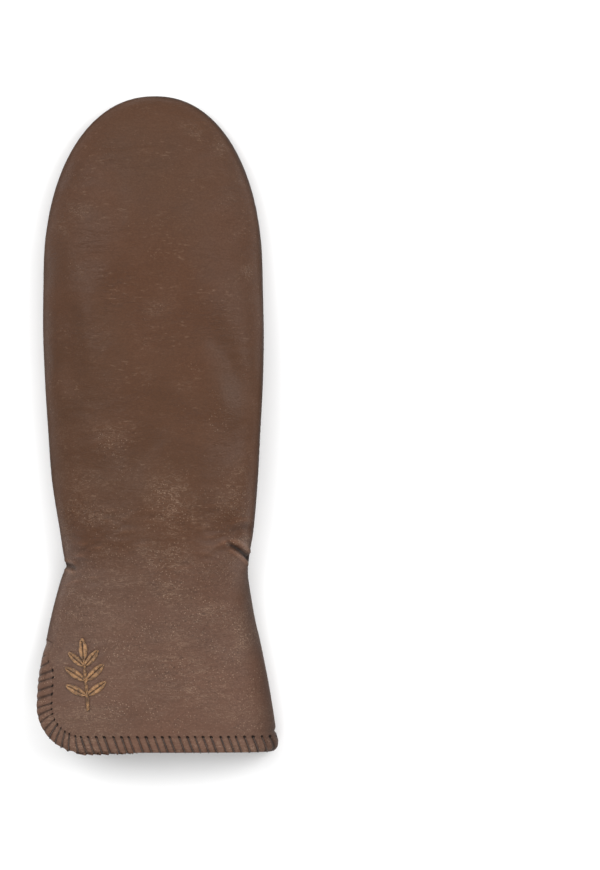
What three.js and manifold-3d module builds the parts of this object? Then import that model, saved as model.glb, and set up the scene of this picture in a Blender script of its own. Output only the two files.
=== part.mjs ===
// A lined leather mitten for the left hand, lying palm down on a flat surface.
// +Y runs from the cuff to the fingertip, +X points to the thumb side and +Z is up.
// It is sewn from a back panel that wraps round the side folds, a palm panel that is gathered
// at the wrist, and a thumb stall, round one knitted lining. The cuff is slit on the little
// finger's side, with rounded corners, and a sprig is embroidered on its back.
import * as THREE from 'three';
import Module from 'manifold-3d';
import { mergeVertices } from 'three/addons/utils/BufferGeometryUtils.js';

// Driving dimensions, in millimetres
const CUFF_LENGTH = 79; // cuff edge to the gathered wrist
const HAND_LENGTH = 201; // wrist to fingertip
const TIP_LENGTH = 78; // the rounded end of the hand
const CUFF_WIDTH = 102.8;
const WRIST_WIDTH = 77.4;
const HAND_WIDTH = 94.2;
const CUFF_DEPTH = 26; // heights of the back above the palm, both lying flat
const WRIST_DEPTH = 26;
const HAND_DEPTH = 22.5;
const EDGE_HEIGHT = 5.5; // height of the side folds
const LEATHER = 1.1; // wall thicknesses
const KNIT = 1.6;
const CLEARANCE = 0.35; // between pieces that touch on the real mitten
const SEAM_INSET = 5; // how far the back panel wraps under the side folds
const SLIT_LENGTH = 47; // cuff edge to the end of the slit
const CORNER_RADIUS = 20; // of the cuff's corners at the slit
const PALM_SETBACK = 1.5; // the palm's cuff edge is this much shorter than the back's
const LINING_RECESS = 0.5; // the lining ends this much inside the leather's edge
const WRIST_RISE = 3.2; // the elastic lifts the gathered palm off the surface
const GATHER_DEPTH = 2.4;
const GATHER_REACH = 34; // how far the folds run from the wrist
const THUMB_LENGTH = 117; // along its middle line
const THUMB_WIDTH = 43;
const THUMB_DEPTH = 13;
const THUMB_BASE_ROUND = 20; // lengths of the thumb's two rounded ends
const THUMB_TIP_ROUND = 15;
const THUMB_HOLE_LENGTH = 46;
const THUMB_HOLE_WIDTH = 23;
const PLUG_SPARE = 2; // how far the cut through the thumb hole runs past the walls
const DRAPE_REACH = 30; // how far beside the thumb the palm comes down again
// How much further the lining bridges beside the thumb, at the wrist and near the fingers
const LINING_DRAPE = { wrist: 8.5, fingers: 17 };
const LINING_EASE = 1.0; // room between the back and the lining, in the middle
const BACK_DRAPE_REACH = 70;
const SPRIG_LENGTH = 30.5;
const SPRIG_WIDTH = 20.5;
const SPRIG_RELIEF = 0.8; // thickness of the satin stitch

// Shape exponents of the cross-sections: 2 is an ellipse, and more is squarer.
const BACK_SQUARENESS = 2.4;
const PALM_SQUARENESS = 5;
const THUMB_SQUARENESS = 3.4;
const TIP_ROUNDNESS = 2.16; // of the outline's rounded end
// A section this near to flat is made exactly flat, where the leather rests.
const FLATTENED_SHARE = 0.985;
// How much of the thumb's lift shows on the back of the hand.
const BACK_FOLLOWS = 0.68;
// Share of each width that lies left of the middle line.
const LEFT_SHARE = { cuff: 0.49, wrist: 0.488, hand: 0.507 };
// How far out the slit edge lies, as a share of the fold that it would have.
const SLIT_EDGE = { end: 0.965, cuff: 0.85 };

// Side outline of the cuff: at is a share of CUFF_LENGTH from the edge to the wrist,
// and left and right go from 0 at the wrist's half width to 1 at the cuff's.
const CUFF_OUTLINE = [
  { at: 0.0, left: 1.0, right: 1.0 },
  { at: 0.12, left: 1.02, right: 0.93 },
  { at: 0.33, left: 1.0, right: 0.73 },
  { at: 0.49, left: 0.9, right: 0.54 },
  { at: 0.6, left: 0.7, right: 0.4 },
  { at: 0.71, left: 0.55, right: 0.24 },
  { at: 0.82, left: 0.38, right: 0.12 },
  { at: 0.9, left: 0.24, right: 0.04 },
  { at: 0.95, left: 0.14, right: 0.0 },
  { at: 1.0, left: 0.0, right: 0.0 },
];

// Side outline of the hand: at is a share of the length from the wrist to the rounded end,
// and left and right go from 0 at the wrist's half width to 1 at the hand's.
const HAND_OUTLINE = [
  { at: 0.0, left: 0.0, right: 0.0 },
  { at: 0.042, left: 0.13, right: 0.1 },
  { at: 0.126, left: 0.29, right: 0.35 },
  { at: 0.294, left: 0.62, right: 0.62 },
  { at: 0.461, left: 0.78, right: 0.78 },
  { at: 0.629, left: 0.91, right: 0.94 },
  { at: 0.797, left: 1.0, right: 1.0 },
  { at: 0.92, left: 1.0, right: 0.96 },
  { at: 1.0, left: 0.985, right: 0.92 },
];

// Rows of the mesh, as shares of each zone's length.
const CORNER_ROWS = 4;
const SLIT_ROWS = [0.5, 1];
const CUFF_ROWS = [0.22, 0.48, 0.68, 0.84, 0.93, 1];
const HAND_ROWS = [0.035, 0.08, 0.15, 0.24, 0.36, 0.5, 0.64, 0.78, 0.9, 1];
const TIP_FANS = 14;
const SLIT_END_ROW = 4.5; // length of the rounded end of the slit

// Middle line of the thumb: x as a share of HAND_WIDTH, y as a share of HAND_LENGTH
// from the wrist.
const THUMB_LINE = [
  { x: 0.15, y: 0.065 },
  { x: 0.185, y: 0.2 },
  { x: 0.18, y: 0.34 },
  { x: 0.085, y: 0.465 },
  { x: -0.04, y: 0.575 },
  { x: -0.115, y: 0.66 },
];

// Half width of the thumb between its rounded ends, as a share of half THUMB_WIDTH.
const THUMB_OUTLINE = [
  { at: 0.0, width: 0.56 },
  { at: 0.15, width: 0.76 },
  { at: 0.33, width: 0.98 },
  { at: 0.45, width: 1.0 },
  { at: 0.62, width: 0.9 },
  { at: 0.8, width: 0.75 },
  { at: 1.0, width: 0.64 },
];
const THUMB_HOLE_AT = 0.34; // middle of the thumb hole, as a share of THUMB_LENGTH

// Folds of the gathered palm, from the little finger's side to the thumb's: the reaches
// towards the cuff and the fingers are shares of GATHER_REACH, depth of GATHER_DEPTH.
const PALM_FOLDS = [
  { cuff: 0.5, fingers: 1.0, depth: 0.7 },
  { cuff: 0.6, fingers: 1.5, depth: 0.9 },
  { cuff: 0.95, fingers: 1.3, depth: 1.0 },
  { cuff: 0.8, fingers: 0.9, depth: 0.9 },
  { cuff: 0.6, fingers: 0.8, depth: 1.0 },
  { cuff: 0.75, fingers: 0.7, depth: 0.9 },
  { cuff: 1.35, fingers: 0.8, depth: 1.0 },
  { cuff: 0.7, fingers: 0.7, depth: 0.9 },
  { cuff: 0.8, fingers: 0.6, depth: 1.0 },
  { cuff: 0.9, fingers: 0.6, depth: 0.9 },
  { cuff: 1.1, fingers: 0.7, depth: 1.0 },
  { cuff: 0.9, fingers: 1.0, depth: 0.9 },
  { cuff: 0.6, fingers: 1.3, depth: 0.7 },
];
const FOLDS_PER_SIDE = (PALM_FOLDS.length - 1) / 2;
const COLUMNS_PER_FOLD = 3;
const PALM_COLUMNS = FOLDS_PER_SIDE * COLUMNS_PER_FOLD + 1;

// Dents of the back: x is a share of the wrist's half width from the middle line, y of
// HAND_LENGTH from the wrist, across and along are half sizes and depth a drop, in shares
// of WRIST_WIDTH and WRIST_DEPTH, and turn is in degrees.
const BACK_DENTS = [
  { x: 0.9, y: 0.08, across: 0.13, along: 0.07, turn: -20, depth: 0.08 },
  { x: 0.93, y: 0.02, across: 0.13, along: 0.05, turn: -35, depth: 0.11 },
  { x: -0.95, y: 0.0, across: 0.12, along: 0.04, turn: 0, depth: 0.1 },
  { x: 0.35, y: 0.05, across: 0.3, along: 0.12, turn: 20, depth: 0.05 },
  { x: -0.95, y: 0.44, across: 0.08, along: 0.3, turn: 0, depth: 0.045 },
  { x: 0.85, y: 0.43, across: 0.08, along: 0.2, turn: 24, depth: 0.045 },
];

// Leaf pairs of the sprig: at is a share of SPRIG_LENGTH from the stem's foot, length a
// share of it too, and lean the angle from the stem, in degrees.
const SPRIG_LEAVES = [
  { at: 0.2, length: 0.3, lean: 58 },
  { at: 0.41, length: 0.31, lean: 52 },
  { at: 0.61, length: 0.27, lean: 44 },
];
const SPRIG_PLACE = { x: -0.273, y: -0.384 }; // shares of CUFF_WIDTH and CUFF_LENGTH from the wrist
const SPRIG_TURN = 5; // degrees anticlockwise
const STEM_WIDTH = 1.2;

// Colours and finishes
const leatherBack = new THREE.MeshStandardMaterial({ color: 0x6b4f40, roughness: 0.55 });
const leatherPalm = new THREE.MeshStandardMaterial({ color: 0x65493b, roughness: 0.5 });
const leatherThumb = new THREE.MeshStandardMaterial({ color: 0x674b3d, roughness: 0.5 });
const knitted = new THREE.MeshStandardMaterial({ color: 0x3a2e26, roughness: 0.95 });
const thread = new THREE.MeshStandardMaterial({ color: 0xa67c52, roughness: 0.6 });

const wasm = await Module();
wasm.setup();

const rad = (degrees) => (degrees * Math.PI) / 180;
const mix = (a, b, t) => a + (b - a) * t;
const clamp01 = (t) => Math.min(1, Math.max(0, t));
const smooth = (t) => clamp01(t) ** 2 * (3 - 2 * clamp01(t));

// Smooth curve through one column of a table, by its at column
function curve(table, column, at) {
  const last = table.length - 1;
  let k = 0;
  while (k < last - 1 && table[k + 1].at < at) k += 1;
  const slope = (i) => {
    const a = table[Math.max(0, i - 1)];
    const b = table[Math.min(last, i + 1)];
    return (b[column] - a[column]) / (b.at - a.at);
  };
  const span = table[k + 1].at - table[k].at;
  const t = clamp01((at - table[k].at) / span);
  const from = table[k][column];
  const to = table[k + 1][column];
  const bend = slope(k) * span * (t ** 3 - 2 * t * t + t) + slope(k + 1) * span * (t ** 3 - t * t);
  return mix(from, to, t * t * (3 - 2 * t)) + bend;
}

// Plan of the mitten. y is 0 at the cuff edge here, and the middle line is at x = 0.
const WRIST_Y = CUFF_LENGTH;
const ROUND_Y = CUFF_LENGTH + HAND_LENGTH - TIP_LENGTH;

function halfOf(width, leftShare, side) {
  return width * (side < 0 ? leftShare : 1 - leftShare);
}

const HALF = {};
for (const side of [-1, 1]) {
  HALF[side] = {
    cuff: halfOf(CUFF_WIDTH, LEFT_SHARE.cuff, side),
    wrist: halfOf(WRIST_WIDTH, LEFT_SHARE.wrist, side),
    hand: halfOf(HAND_WIDTH, LEFT_SHARE.hand, side),
  };
}

// Distance from the middle line to the side fold
function halfWidth(side, y) {
  const column = side < 0 ? 'left' : 'right';
  const half = HALF[side];
  if (y < WRIST_Y) return mix(half.wrist, half.cuff, curve(CUFF_OUTLINE, column, y / CUFF_LENGTH));
  const share = Math.min(1, (y - WRIST_Y) / (ROUND_Y - WRIST_Y));
  return mix(half.wrist, half.hand, curve(HAND_OUTLINE, column, share));
}

// Distance from the middle line to the cut edge beside the slit, with its rounded corner
function slitEdge(y) {
  const up = Math.max(0, CORNER_RADIUS - y);
  return halfWidth(-1, y) - CORNER_RADIUS + Math.sqrt(CORNER_RADIUS ** 2 - up ** 2);
}

// Height of the back over the middle line
function backHeight(y) {
  if (y < WRIST_Y) return mix(CUFF_DEPTH, WRIST_DEPTH, smooth(y / CUFF_LENGTH));
  return mix(WRIST_DEPTH, HAND_DEPTH, smooth((3 * (y - WRIST_Y)) / HAND_LENGTH));
}

// Height share of a section, which is 1 in the middle and 0 at the fold
function bulge(rho, squareness) {
  const rest = 1 - Math.min(1, rho) ** squareness;
  return rest < 1e-9 ? 0 : rest ** (1 / squareness);
}

const flattened = (share) => Math.min(1, share / FLATTENED_SHARE);

// Middle line of the thumb, as a smooth line through its named places
const thumbLine = new THREE.CatmullRomCurve3(
  THUMB_LINE.map((p) => new THREE.Vector3(p.x * HAND_WIDTH, WRIST_Y + p.y * HAND_LENGTH, 0)),
  false,
  'centripetal',
);

// A place on the middle line, at a distance from the thumb's base, with its direction
function thumbPlace(along) {
  const share = clamp01(along / THUMB_LENGTH);
  return { at: thumbLine.getPointAt(share), ahead: thumbLine.getTangentAt(share) };
}

function thumbHalf(along) {
  const share = (along - THUMB_BASE_ROUND) / (THUMB_LENGTH - THUMB_BASE_ROUND - THUMB_TIP_ROUND);
  return (THUMB_WIDTH / 2) * curve(THUMB_OUTLINE, 'width', clamp01(share));
}

// Stations of the thumb: each has its place along the middle line, a half width and a share
// of the full thickness, for a skin at a depth under the leather's outside.
const THUMB_END_ROWS = 4;
const THUMB_MIDDLE_ROWS = 7;
const THUMB_SIDES = 16;
const THUMB_LINING_SIDES = 12;

function thumbStations(depth) {
  const stations = [];
  const start = THUMB_BASE_ROUND;
  const end = THUMB_LENGTH - THUMB_TIP_ROUND;
  for (let k = 0; k <= THUMB_END_ROWS; k += 1) {
    const angle = rad((90 * k) / THUMB_END_ROWS);
    stations.push({
      along: start - (THUMB_BASE_ROUND - depth) * Math.cos(angle),
      half: (thumbHalf(start) - depth) * Math.sin(angle),
      tall: Math.sin(angle) ** (1 / 2),
    });
  }
  for (let k = 1; k < THUMB_MIDDLE_ROWS; k += 1) {
    const along = mix(start, end, k / THUMB_MIDDLE_ROWS);
    stations.push({ along, half: thumbHalf(along) - depth, tall: 1 });
  }
  for (let k = 0; k <= THUMB_END_ROWS; k += 1) {
    const angle = rad((90 * k) / THUMB_END_ROWS);
    stations.push({
      along: end + (THUMB_TIP_ROUND - depth) * Math.sin(angle),
      half: (thumbHalf(end) - depth) * Math.cos(angle),
      tall: Math.cos(angle) ** (1 / 2),
    });
  }
  return stations;
}

// Footprint of the thumb, as discs along its middle line, and the distance of a place from it
const THUMB_DISCS = [];
for (let k = 0; k <= 24; k += 1) {
  const along = mix(THUMB_BASE_ROUND, THUMB_LENGTH - THUMB_TIP_ROUND, k / 24);
  THUMB_DISCS.push({ at: thumbPlace(along).at, half: thumbHalf(along) });
}

function besideThumb(x, y) {
  const away = THUMB_DISCS.map((disc) => Math.hypot(x - disc.at.x, y - disc.at.y) - disc.half);
  return Math.max(0, Math.min(...away));
}

// Lift of the palm and of the back where they lie over the thumb
const FULL_LIFT = THUMB_DEPTH + CLEARANCE;
const palmLift = (x, y, bridge = 0) =>
  FULL_LIFT * (1 - smooth((besideThumb(x, y) - bridge) / DRAPE_REACH));
const backLift = (x, y) =>
  FULL_LIFT * BACK_FOLLOWS * (1 - smooth(besideThumb(x, y) / BACK_DRAPE_REACH));

// Lift of the gathered wrist
const RISE_REACH = GATHER_REACH * 1.4;
const wristRise = (y) => WRIST_RISE * (1 - smooth(Math.abs(y - WRIST_Y) / RISE_REACH));
const higher = (a, b) => (a ** 4 + b ** 4) ** (1 / 4);

// Drop of the back at a place, by its dents
function dentDrop(x, y) {
  let drop = 0;
  for (const dent of BACK_DENTS) {
    const dx = x - (dent.x * WRIST_WIDTH) / 2;
    const dy = y - WRIST_Y - dent.y * HAND_LENGTH;
    const c = Math.cos(rad(dent.turn));
    const s = Math.sin(rad(dent.turn));
    const across = (dx * c + dy * s) / (dent.across * WRIST_WIDTH);
    const along = (dy * c - dx * s) / (dent.along * WRIST_WIDTH);
    drop += dent.depth * WRIST_DEPTH * Math.exp(-across * across - along * along);
  }
  return drop;
}

// Depth of the gathered folds at a place: place counts folds from the middle line
function foldDrop(place, y, lifted) {
  const nearest = Math.round(place);
  const fold = PALM_FOLDS[nearest + FOLDS_PER_SIDE];
  if (!fold) return 0;
  const reach = GATHER_REACH * (y < WRIST_Y ? fold.cuff : fold.fingers);
  const crest = Math.max(0, (1 + 2 * Math.cos(2 * Math.PI * (place - nearest))) / 3);
  const fade = 1 - smooth(Math.abs(y - WRIST_Y) / reach);
  const free = wristRise(y) / WRIST_RISE;
  return GATHER_DEPTH * fold.depth * crest * fade * free * (1 - lifted / FULL_LIFT);
}

// How far out a place lies in its section, which is 0 on the middle line and 1 at the fold
function outness(station, x, y, depth) {
  const inset = station.slit ? 0 : depth;
  if (y > ROUND_Y) {
    const across = Math.abs(x) / (halfWidth(station.side, ROUND_Y) - inset);
    const along = (y - ROUND_Y) / (TIP_LENGTH - inset);
    return (across ** TIP_ROUNDNESS + along ** TIP_ROUNDNESS) ** (1 / TIP_ROUNDNESS);
  }
  if (!station.slit) return Math.abs(x) / (halfWidth(station.side, y) - inset);
  const edge = mix(SLIT_EDGE.end, SLIT_EDGE.cuff, smooth(1 - y / SLIT_LENGTH));
  return (Math.abs(x) * edge) / halfWidth(-1, y);
}

// Height of a skin of the back or the palm, at a depth under the leather's outside
function skinHeight(station, upper, x, y, depth, loose = 0) {
  const rho = outness(station, x, y, depth);
  if (upper) {
    const share = bulge(rho, BACK_SQUARENESS);
    const top = backHeight(Math.min(y, ROUND_Y)) - EDGE_HEIGHT - LINING_EASE * loose;
    const arch = station.slit ? top * share - depth : (top - depth) * share;
    const lift = mix(palmLift(x, y), backLift(x, y), (1 + share) / 2);
    return EDGE_HEIGHT + arch + lift - dentDrop(x, y) * share;
  }
  const share = flattened(bulge(rho, PALM_SQUARENESS));
  const sag = station.slit ? EDGE_HEIGHT * share - depth : (EDGE_HEIGHT - depth) * share;
  const bridge = mix(LINING_DRAPE.wrist, LINING_DRAPE.fingers, smooth((1.5 * (y - WRIST_Y)) / HAND_LENGTH));
  const over = palmLift(x, y, bridge * loose * share);
  const lift = mix(over, backLift(x, y), (1 - share) / 2);
  return EDGE_HEIGHT - sag + higher(lift, wristRise(y) * share);
}

// Stations round the mitten, from the slit side of the cuff round the tip to the thumb side
function sideRows() {
  const rows = [];
  for (let k = 0; k <= CORNER_ROWS; k += 1) {
    rows.push({ y: CORNER_RADIUS * (1 - Math.cos(rad((90 * k) / CORNER_ROWS))), slit: true });
  }
  for (const share of SLIT_ROWS) {
    rows.push({ y: mix(CORNER_RADIUS, SLIT_LENGTH, share), slit: true });
  }
  const slitEnd = SLIT_LENGTH + SLIT_END_ROW;
  rows.push({ y: slitEnd, slitEnd: true });
  for (const share of CUFF_ROWS) rows.push({ y: mix(slitEnd, WRIST_Y, share) });
  for (const share of HAND_ROWS) rows.push({ y: mix(WRIST_Y, ROUND_Y, share) });
  return rows;
}

function makeStations() {
  const rows = sideRows();
  const left = rows.map((row) => ({ ...row, side: -1 }));
  const right = rows.map((row) => ({ y: row.y, side: 1 })).reverse();
  const fans = [];
  for (let k = 1; k < TIP_FANS; k += 1) {
    const angle = (180 * k) / TIP_FANS;
    fans.push({ y: ROUND_Y, side: angle <= 90 ? -1 : 1, fan: rad(Math.min(angle, 180 - angle)) });
  }
  return [...left, ...fans, ...right];
}

const STATIONS = makeStations();

// Plan of the outline at a station, moved in by an inset
function outlinePoint(station, inset) {
  const { side, y } = station;
  if (station.fan !== undefined) {
    const rounded = (share) => Math.max(0, share) ** (2 / TIP_ROUNDNESS);
    return [
      side * (halfWidth(side, ROUND_Y) - inset) * rounded(Math.cos(station.fan)),
      ROUND_Y + (TIP_LENGTH - inset) * rounded(Math.sin(station.fan)),
    ];
  }
  return [side * (halfWidth(side, y) - inset), y];
}

// Plan of the free edge at a slit station, for a piece whose edges are set back
const setbackAt = (y, setback) => setback * (1 - clamp01(y / SLIT_LENGTH));

function freeEdge(station, setback, least = 0) {
  const back = Math.max(least, setbackAt(station.y, setback));
  return [-(slitEdge(station.y) - back), station.y];
}

// A sheet is a list of stations, each a list of places from the middle line outwards.
// A place has a plan point for a depth, and says whether it is on the back or under it.
const BACK_ANGLES = [90, 74, 58, 43, 30, 19, 9, 0];
const WRAP_SHARES = [0.06, 0.35, 1];
const SLIT_WRAP_AT = 0.94; // where those columns lie on the flap beside the slit
const LINING_ANGLES = [90, 58, 32, 13, 0];
const LINING_PALM_SHARES = [0, 0.4, 0.72, 0.91, 1];
const outAt = (degrees) => Math.max(0, Math.cos(rad(degrees))) ** (2 / BACK_SQUARENESS);
const between = (from, to, t) => [mix(from[0], to[0], t), mix(from[1], to[1], t)];

function spinePoint(station) {
  return [0, station.y];
}

function backColumns(station, setback) {
  if (station.slit) {
    const edge = freeEdge(station, setback);
    const folded = BACK_ANGLES.map((angle) => SLIT_WRAP_AT * outAt(angle));
    const wrapped = WRAP_SHARES.map((_, k) => mix(SLIT_WRAP_AT, 1, (k + 1) / WRAP_SHARES.length));
    return [...folded, ...wrapped].map((share) => (
      { upper: true, plan: () => between(spinePoint(station), edge, share) }));
  }
  const over = BACK_ANGLES.map((angle) => ({
    upper: true,
    plan: (depth) => between(spinePoint(station), outlinePoint(station, depth), outAt(angle)),
  }));
  const under = WRAP_SHARES.map((share) => ({
    upper: false,
    plan: (depth) => {
      if (station.slitEnd) return outlinePoint(station, depth);
      return between(outlinePoint(station, depth), outlinePoint(station, SEAM_INSET - CLEARANCE), share);
    },
  }));
  return [...over, ...under];
}

function palmColumns(station, setback) {
  let edge = outlinePoint(station, SEAM_INSET);
  if (station.slitEnd) edge = outlinePoint(station, 4 * CLEARANCE);
  if (station.slit) edge = freeEdge(station, setback);
  return Array.from({ length: PALM_COLUMNS + 1 }, (_, k) => ({
    upper: false,
    folds: (station.side * k) / COLUMNS_PER_FOLD,
    plan: () => between(spinePoint(station), edge, k / PALM_COLUMNS),
  }));
}

function liningColumns(upper, station, setback) {
  const shares = upper ? LINING_ANGLES.map(outAt) : LINING_PALM_SHARES;
  const edge = station.slit ? freeEdge(station, setback, LINING_DEPTH + LINING_RECESS) : null;
  return shares.map((share) => ({
    upper,
    loose: 1,
    plan: (depth) => between(spinePoint(station), edge || outlinePoint(station, depth), share),
  }));
}

// The cuff edge of a piece that is set back from the longest one
function skinPoint(station, column, depth, setback) {
  const [x, y] = column.plan(depth);
  const shifted = y < SLIT_LENGTH ? y + setbackAt(y, setback) : y;
  let z = skinHeight(station, column.upper, x, shifted, depth, column.loose);
  if (column.folds !== undefined && station.fan === undefined) {
    z -= foldDrop(column.folds, shifted, palmLift(x, shifted));
  }
  return [x, shifted, z];
}

// Triangles of a wall between two skins of a sheet, with rims at its free edges
function wallTriangles(columnsOf, outerDepth, innerDepth, setback) {
  const grids = [outerDepth, innerDepth].map((depth) =>
    STATIONS.map((station) =>
      columnsOf(station, setback).map((column) => skinPoint(station, column, depth, setback)),
    ),
  );
  const [outer, inner] = grids;
  const quads = [];
  const lastColumn = outer[0].length - 1;
  for (let i = 0; i + 1 < STATIONS.length; i += 1) {
    for (let j = 0; j < lastColumn; j += 1) {
      quads.push([outer[i][j], outer[i + 1][j], outer[i + 1][j + 1], outer[i][j + 1]]);
      quads.push([inner[i][j], inner[i][j + 1], inner[i + 1][j + 1], inner[i + 1][j]]);
    }
  }
  for (let j = 0; j < lastColumn; j += 1) {
    quads.push([outer[0][j], outer[0][j + 1], inner[0][j + 1], inner[0][j]]);
    const end = STATIONS.length - 1;
    quads.push([outer[end][j], inner[end][j], inner[end][j + 1], outer[end][j + 1]]);
  }
  return { quads, outer, inner, lastColumn };
}

function rimQuads({ outer, inner, lastColumn }, isOpen) {
  const quads = [];
  for (let i = 0; i + 1 < STATIONS.length; i += 1) {
    if (!isOpen(STATIONS[i], STATIONS[i + 1])) continue;
    const j = lastColumn;
    quads.push([outer[i][j], outer[i + 1][j], inner[i + 1][j], inner[i][j]]);
  }
  return quads;
}

// A closed solid from quads, whichever way they all face
function solidFrom(quads) {
  const positions = [];
  for (const [a, b, c, d] of quads) positions.push(...a, ...b, ...c, ...a, ...c, ...d);
  const loose = new THREE.BufferGeometry();
  loose.setAttribute('position', new THREE.Float32BufferAttribute(positions, 3));
  const merged = mergeVertices(loose, 1e-3);
  const index = merged.index.array;
  const kept = [];
  for (let i = 0; i < index.length; i += 3) {
    const [a, b, c] = index.slice(i, i + 3);
    if (a !== b && b !== c && c !== a) kept.push([a, b, c]);
  }
  const vertProperties = merged.attributes.position.array;
  const build = (triangles) => new wasm.Manifold(
    new wasm.Mesh({ numProp: 3, vertProperties, triVerts: new Uint32Array(triangles.flat()) }),
  );
  const solid = build(kept);
  return solid.volume() > 0 ? solid : build(kept.map(([a, b, c]) => [a, c, b]));
}

const flipped = (quads) => quads.map((quad) => [...quad].reverse());

// The back panel and the palm panel
function panel(columnsOf, setback) {
  const wall = wallTriangles(columnsOf, 0, LEATHER, setback);
  return solidFrom([...wall.quads, ...rimQuads(wall, () => true)]);
}

// The lining of the hand: its back and its palm meet at the folds, and part at the slit
const LINING_DEPTH = LEATHER + CLEARANCE;

function handLining() {
  const open = (a) => Boolean(a.slit);
  const quads = [];
  for (const upper of [true, false]) {
    const columnsOf = (station, back) => liningColumns(upper, station, back);
    const wall = wallTriangles(columnsOf, LINING_DEPTH, LINING_DEPTH + KNIT, LINING_RECESS);
    const all = [...wall.quads, ...rimQuads(wall, open)];
    quads.push(...(upper ? all : flipped(all)));
  }
  return solidFrom(quads);
}

// A closed solid inside one skin of the thumb
function thumbSolid(depth, sides) {
  const rings = thumbStations(depth).map((station) => {
    const { at, ahead } = thumbPlace(station.along);
    const half = THUMB_DEPTH / 2;
    return Array.from({ length: sides }, (_, k) => {
      const angle = (2 * Math.PI * k) / sides;
      const [c, s] = [Math.cos(angle), Math.sin(angle)];
      const out = Math.sign(c) * Math.abs(c) ** (2 / THUMB_SQUARENESS) * station.half;
      const up = Math.sign(s) * flattened(Math.abs(s) ** (2 / THUMB_SQUARENESS));
      return [at.x + ahead.y * out, at.y - ahead.x * out, half + up * station.tall * (half - depth)];
    });
  });
  const quads = [];
  for (let i = 0; i + 1 < rings.length; i += 1) {
    for (let k = 0; k < sides; k += 1) {
      const next = (k + 1) % sides;
      quads.push([rings[i][k], rings[i][next], rings[i + 1][next], rings[i + 1][k]]);
    }
  }
  return solidFrom(quads);
}

// An upright oval plug through the thumb hole, smaller than the hole by a margin
const HOLE_SIDES = 20;

function holePlug(margin, low, high) {
  const { at, ahead } = thumbPlace(THUMB_HOLE_AT * THUMB_LENGTH);
  const shape = new THREE.Shape();
  shape.absellipse(
    at.x, at.y, THUMB_HOLE_LENGTH / 2 - margin, THUMB_HOLE_WIDTH / 2 - margin,
    0, 2 * Math.PI, false, Math.atan2(ahead.y, ahead.x),
  );
  const geometry = new THREE.ExtrudeGeometry(shape, {
    depth: high - low, bevelEnabled: false, curveSegments: HOLE_SIDES,
  });
  geometry.translate(0, 0, low);
  return manifoldOf(geometry);
}

function manifoldOf(geometry) {
  const bare = geometry.index ? geometry.toNonIndexed() : geometry;
  const p = bare.attributes.position.array;
  const corner = (i) => [p[3 * i], p[3 * i + 1], p[3 * i + 2]];
  const quads = [];
  for (let i = 0; i < p.length / 3; i += 3) {
    quads.push([corner(i), corner(i + 1), corner(i + 2), corner(i + 2)]);
  }
  return solidFrom(quads);
}

// The plug runs from inside the thumb to inside the hand.
const PLUG_LOW = THUMB_DEPTH / 2;
const PLUG_HIGH = FULL_LIFT + LINING_DEPTH + KNIT + PLUG_SPARE;

function thumbStall() {
  const wall = thumbSolid(0, THUMB_SIDES).subtract(thumbSolid(LEATHER, THUMB_SIDES));
  return wall.subtract(holePlug(0, PLUG_LOW, PLUG_HIGH));
}

function knittedLining() {
  const throat = holePlug(CLEARANCE + KNIT, PLUG_LOW, PLUG_HIGH);
  const neckLow = THUMB_DEPTH - LINING_DEPTH - KNIT / 2;
  const neckHigh = FULL_LIFT + LINING_DEPTH + KNIT / 2;
  const [outside, inside] = [LINING_DEPTH, LINING_DEPTH + KNIT];
  const sides = THUMB_LINING_SIDES;
  const thumb = thumbSolid(outside, sides).subtract(thumbSolid(inside, sides));
  return handLining()
    .add(thumb)
    .add(holePlug(CLEARANCE, neckLow, neckHigh))
    .subtract(throat);
}

// The embroidered sprig: a stem with paired leaves and one at its top, on the back's surface
function leafShape(x, y, length, width, turn) {
  const shape = new THREE.Shape();
  const tip = [x + length * Math.sin(turn), y + length * Math.cos(turn)];
  const middle = [x + 0.45 * length * Math.sin(turn), y + 0.45 * length * Math.cos(turn)];
  const bow = [width * Math.cos(turn), -width * Math.sin(turn)];
  shape.moveTo(x, y);
  shape.quadraticCurveTo(middle[0] + bow[0], middle[1] + bow[1], ...tip);
  shape.quadraticCurveTo(middle[0] - bow[0], middle[1] - bow[1], x, y);
  return shape;
}

function stitched(shape) {
  return manifoldOf(new THREE.ExtrudeGeometry(shape, {
    depth: SPRIG_RELIEF, bevelEnabled: false, curveSegments: 5,
  }));
}

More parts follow.
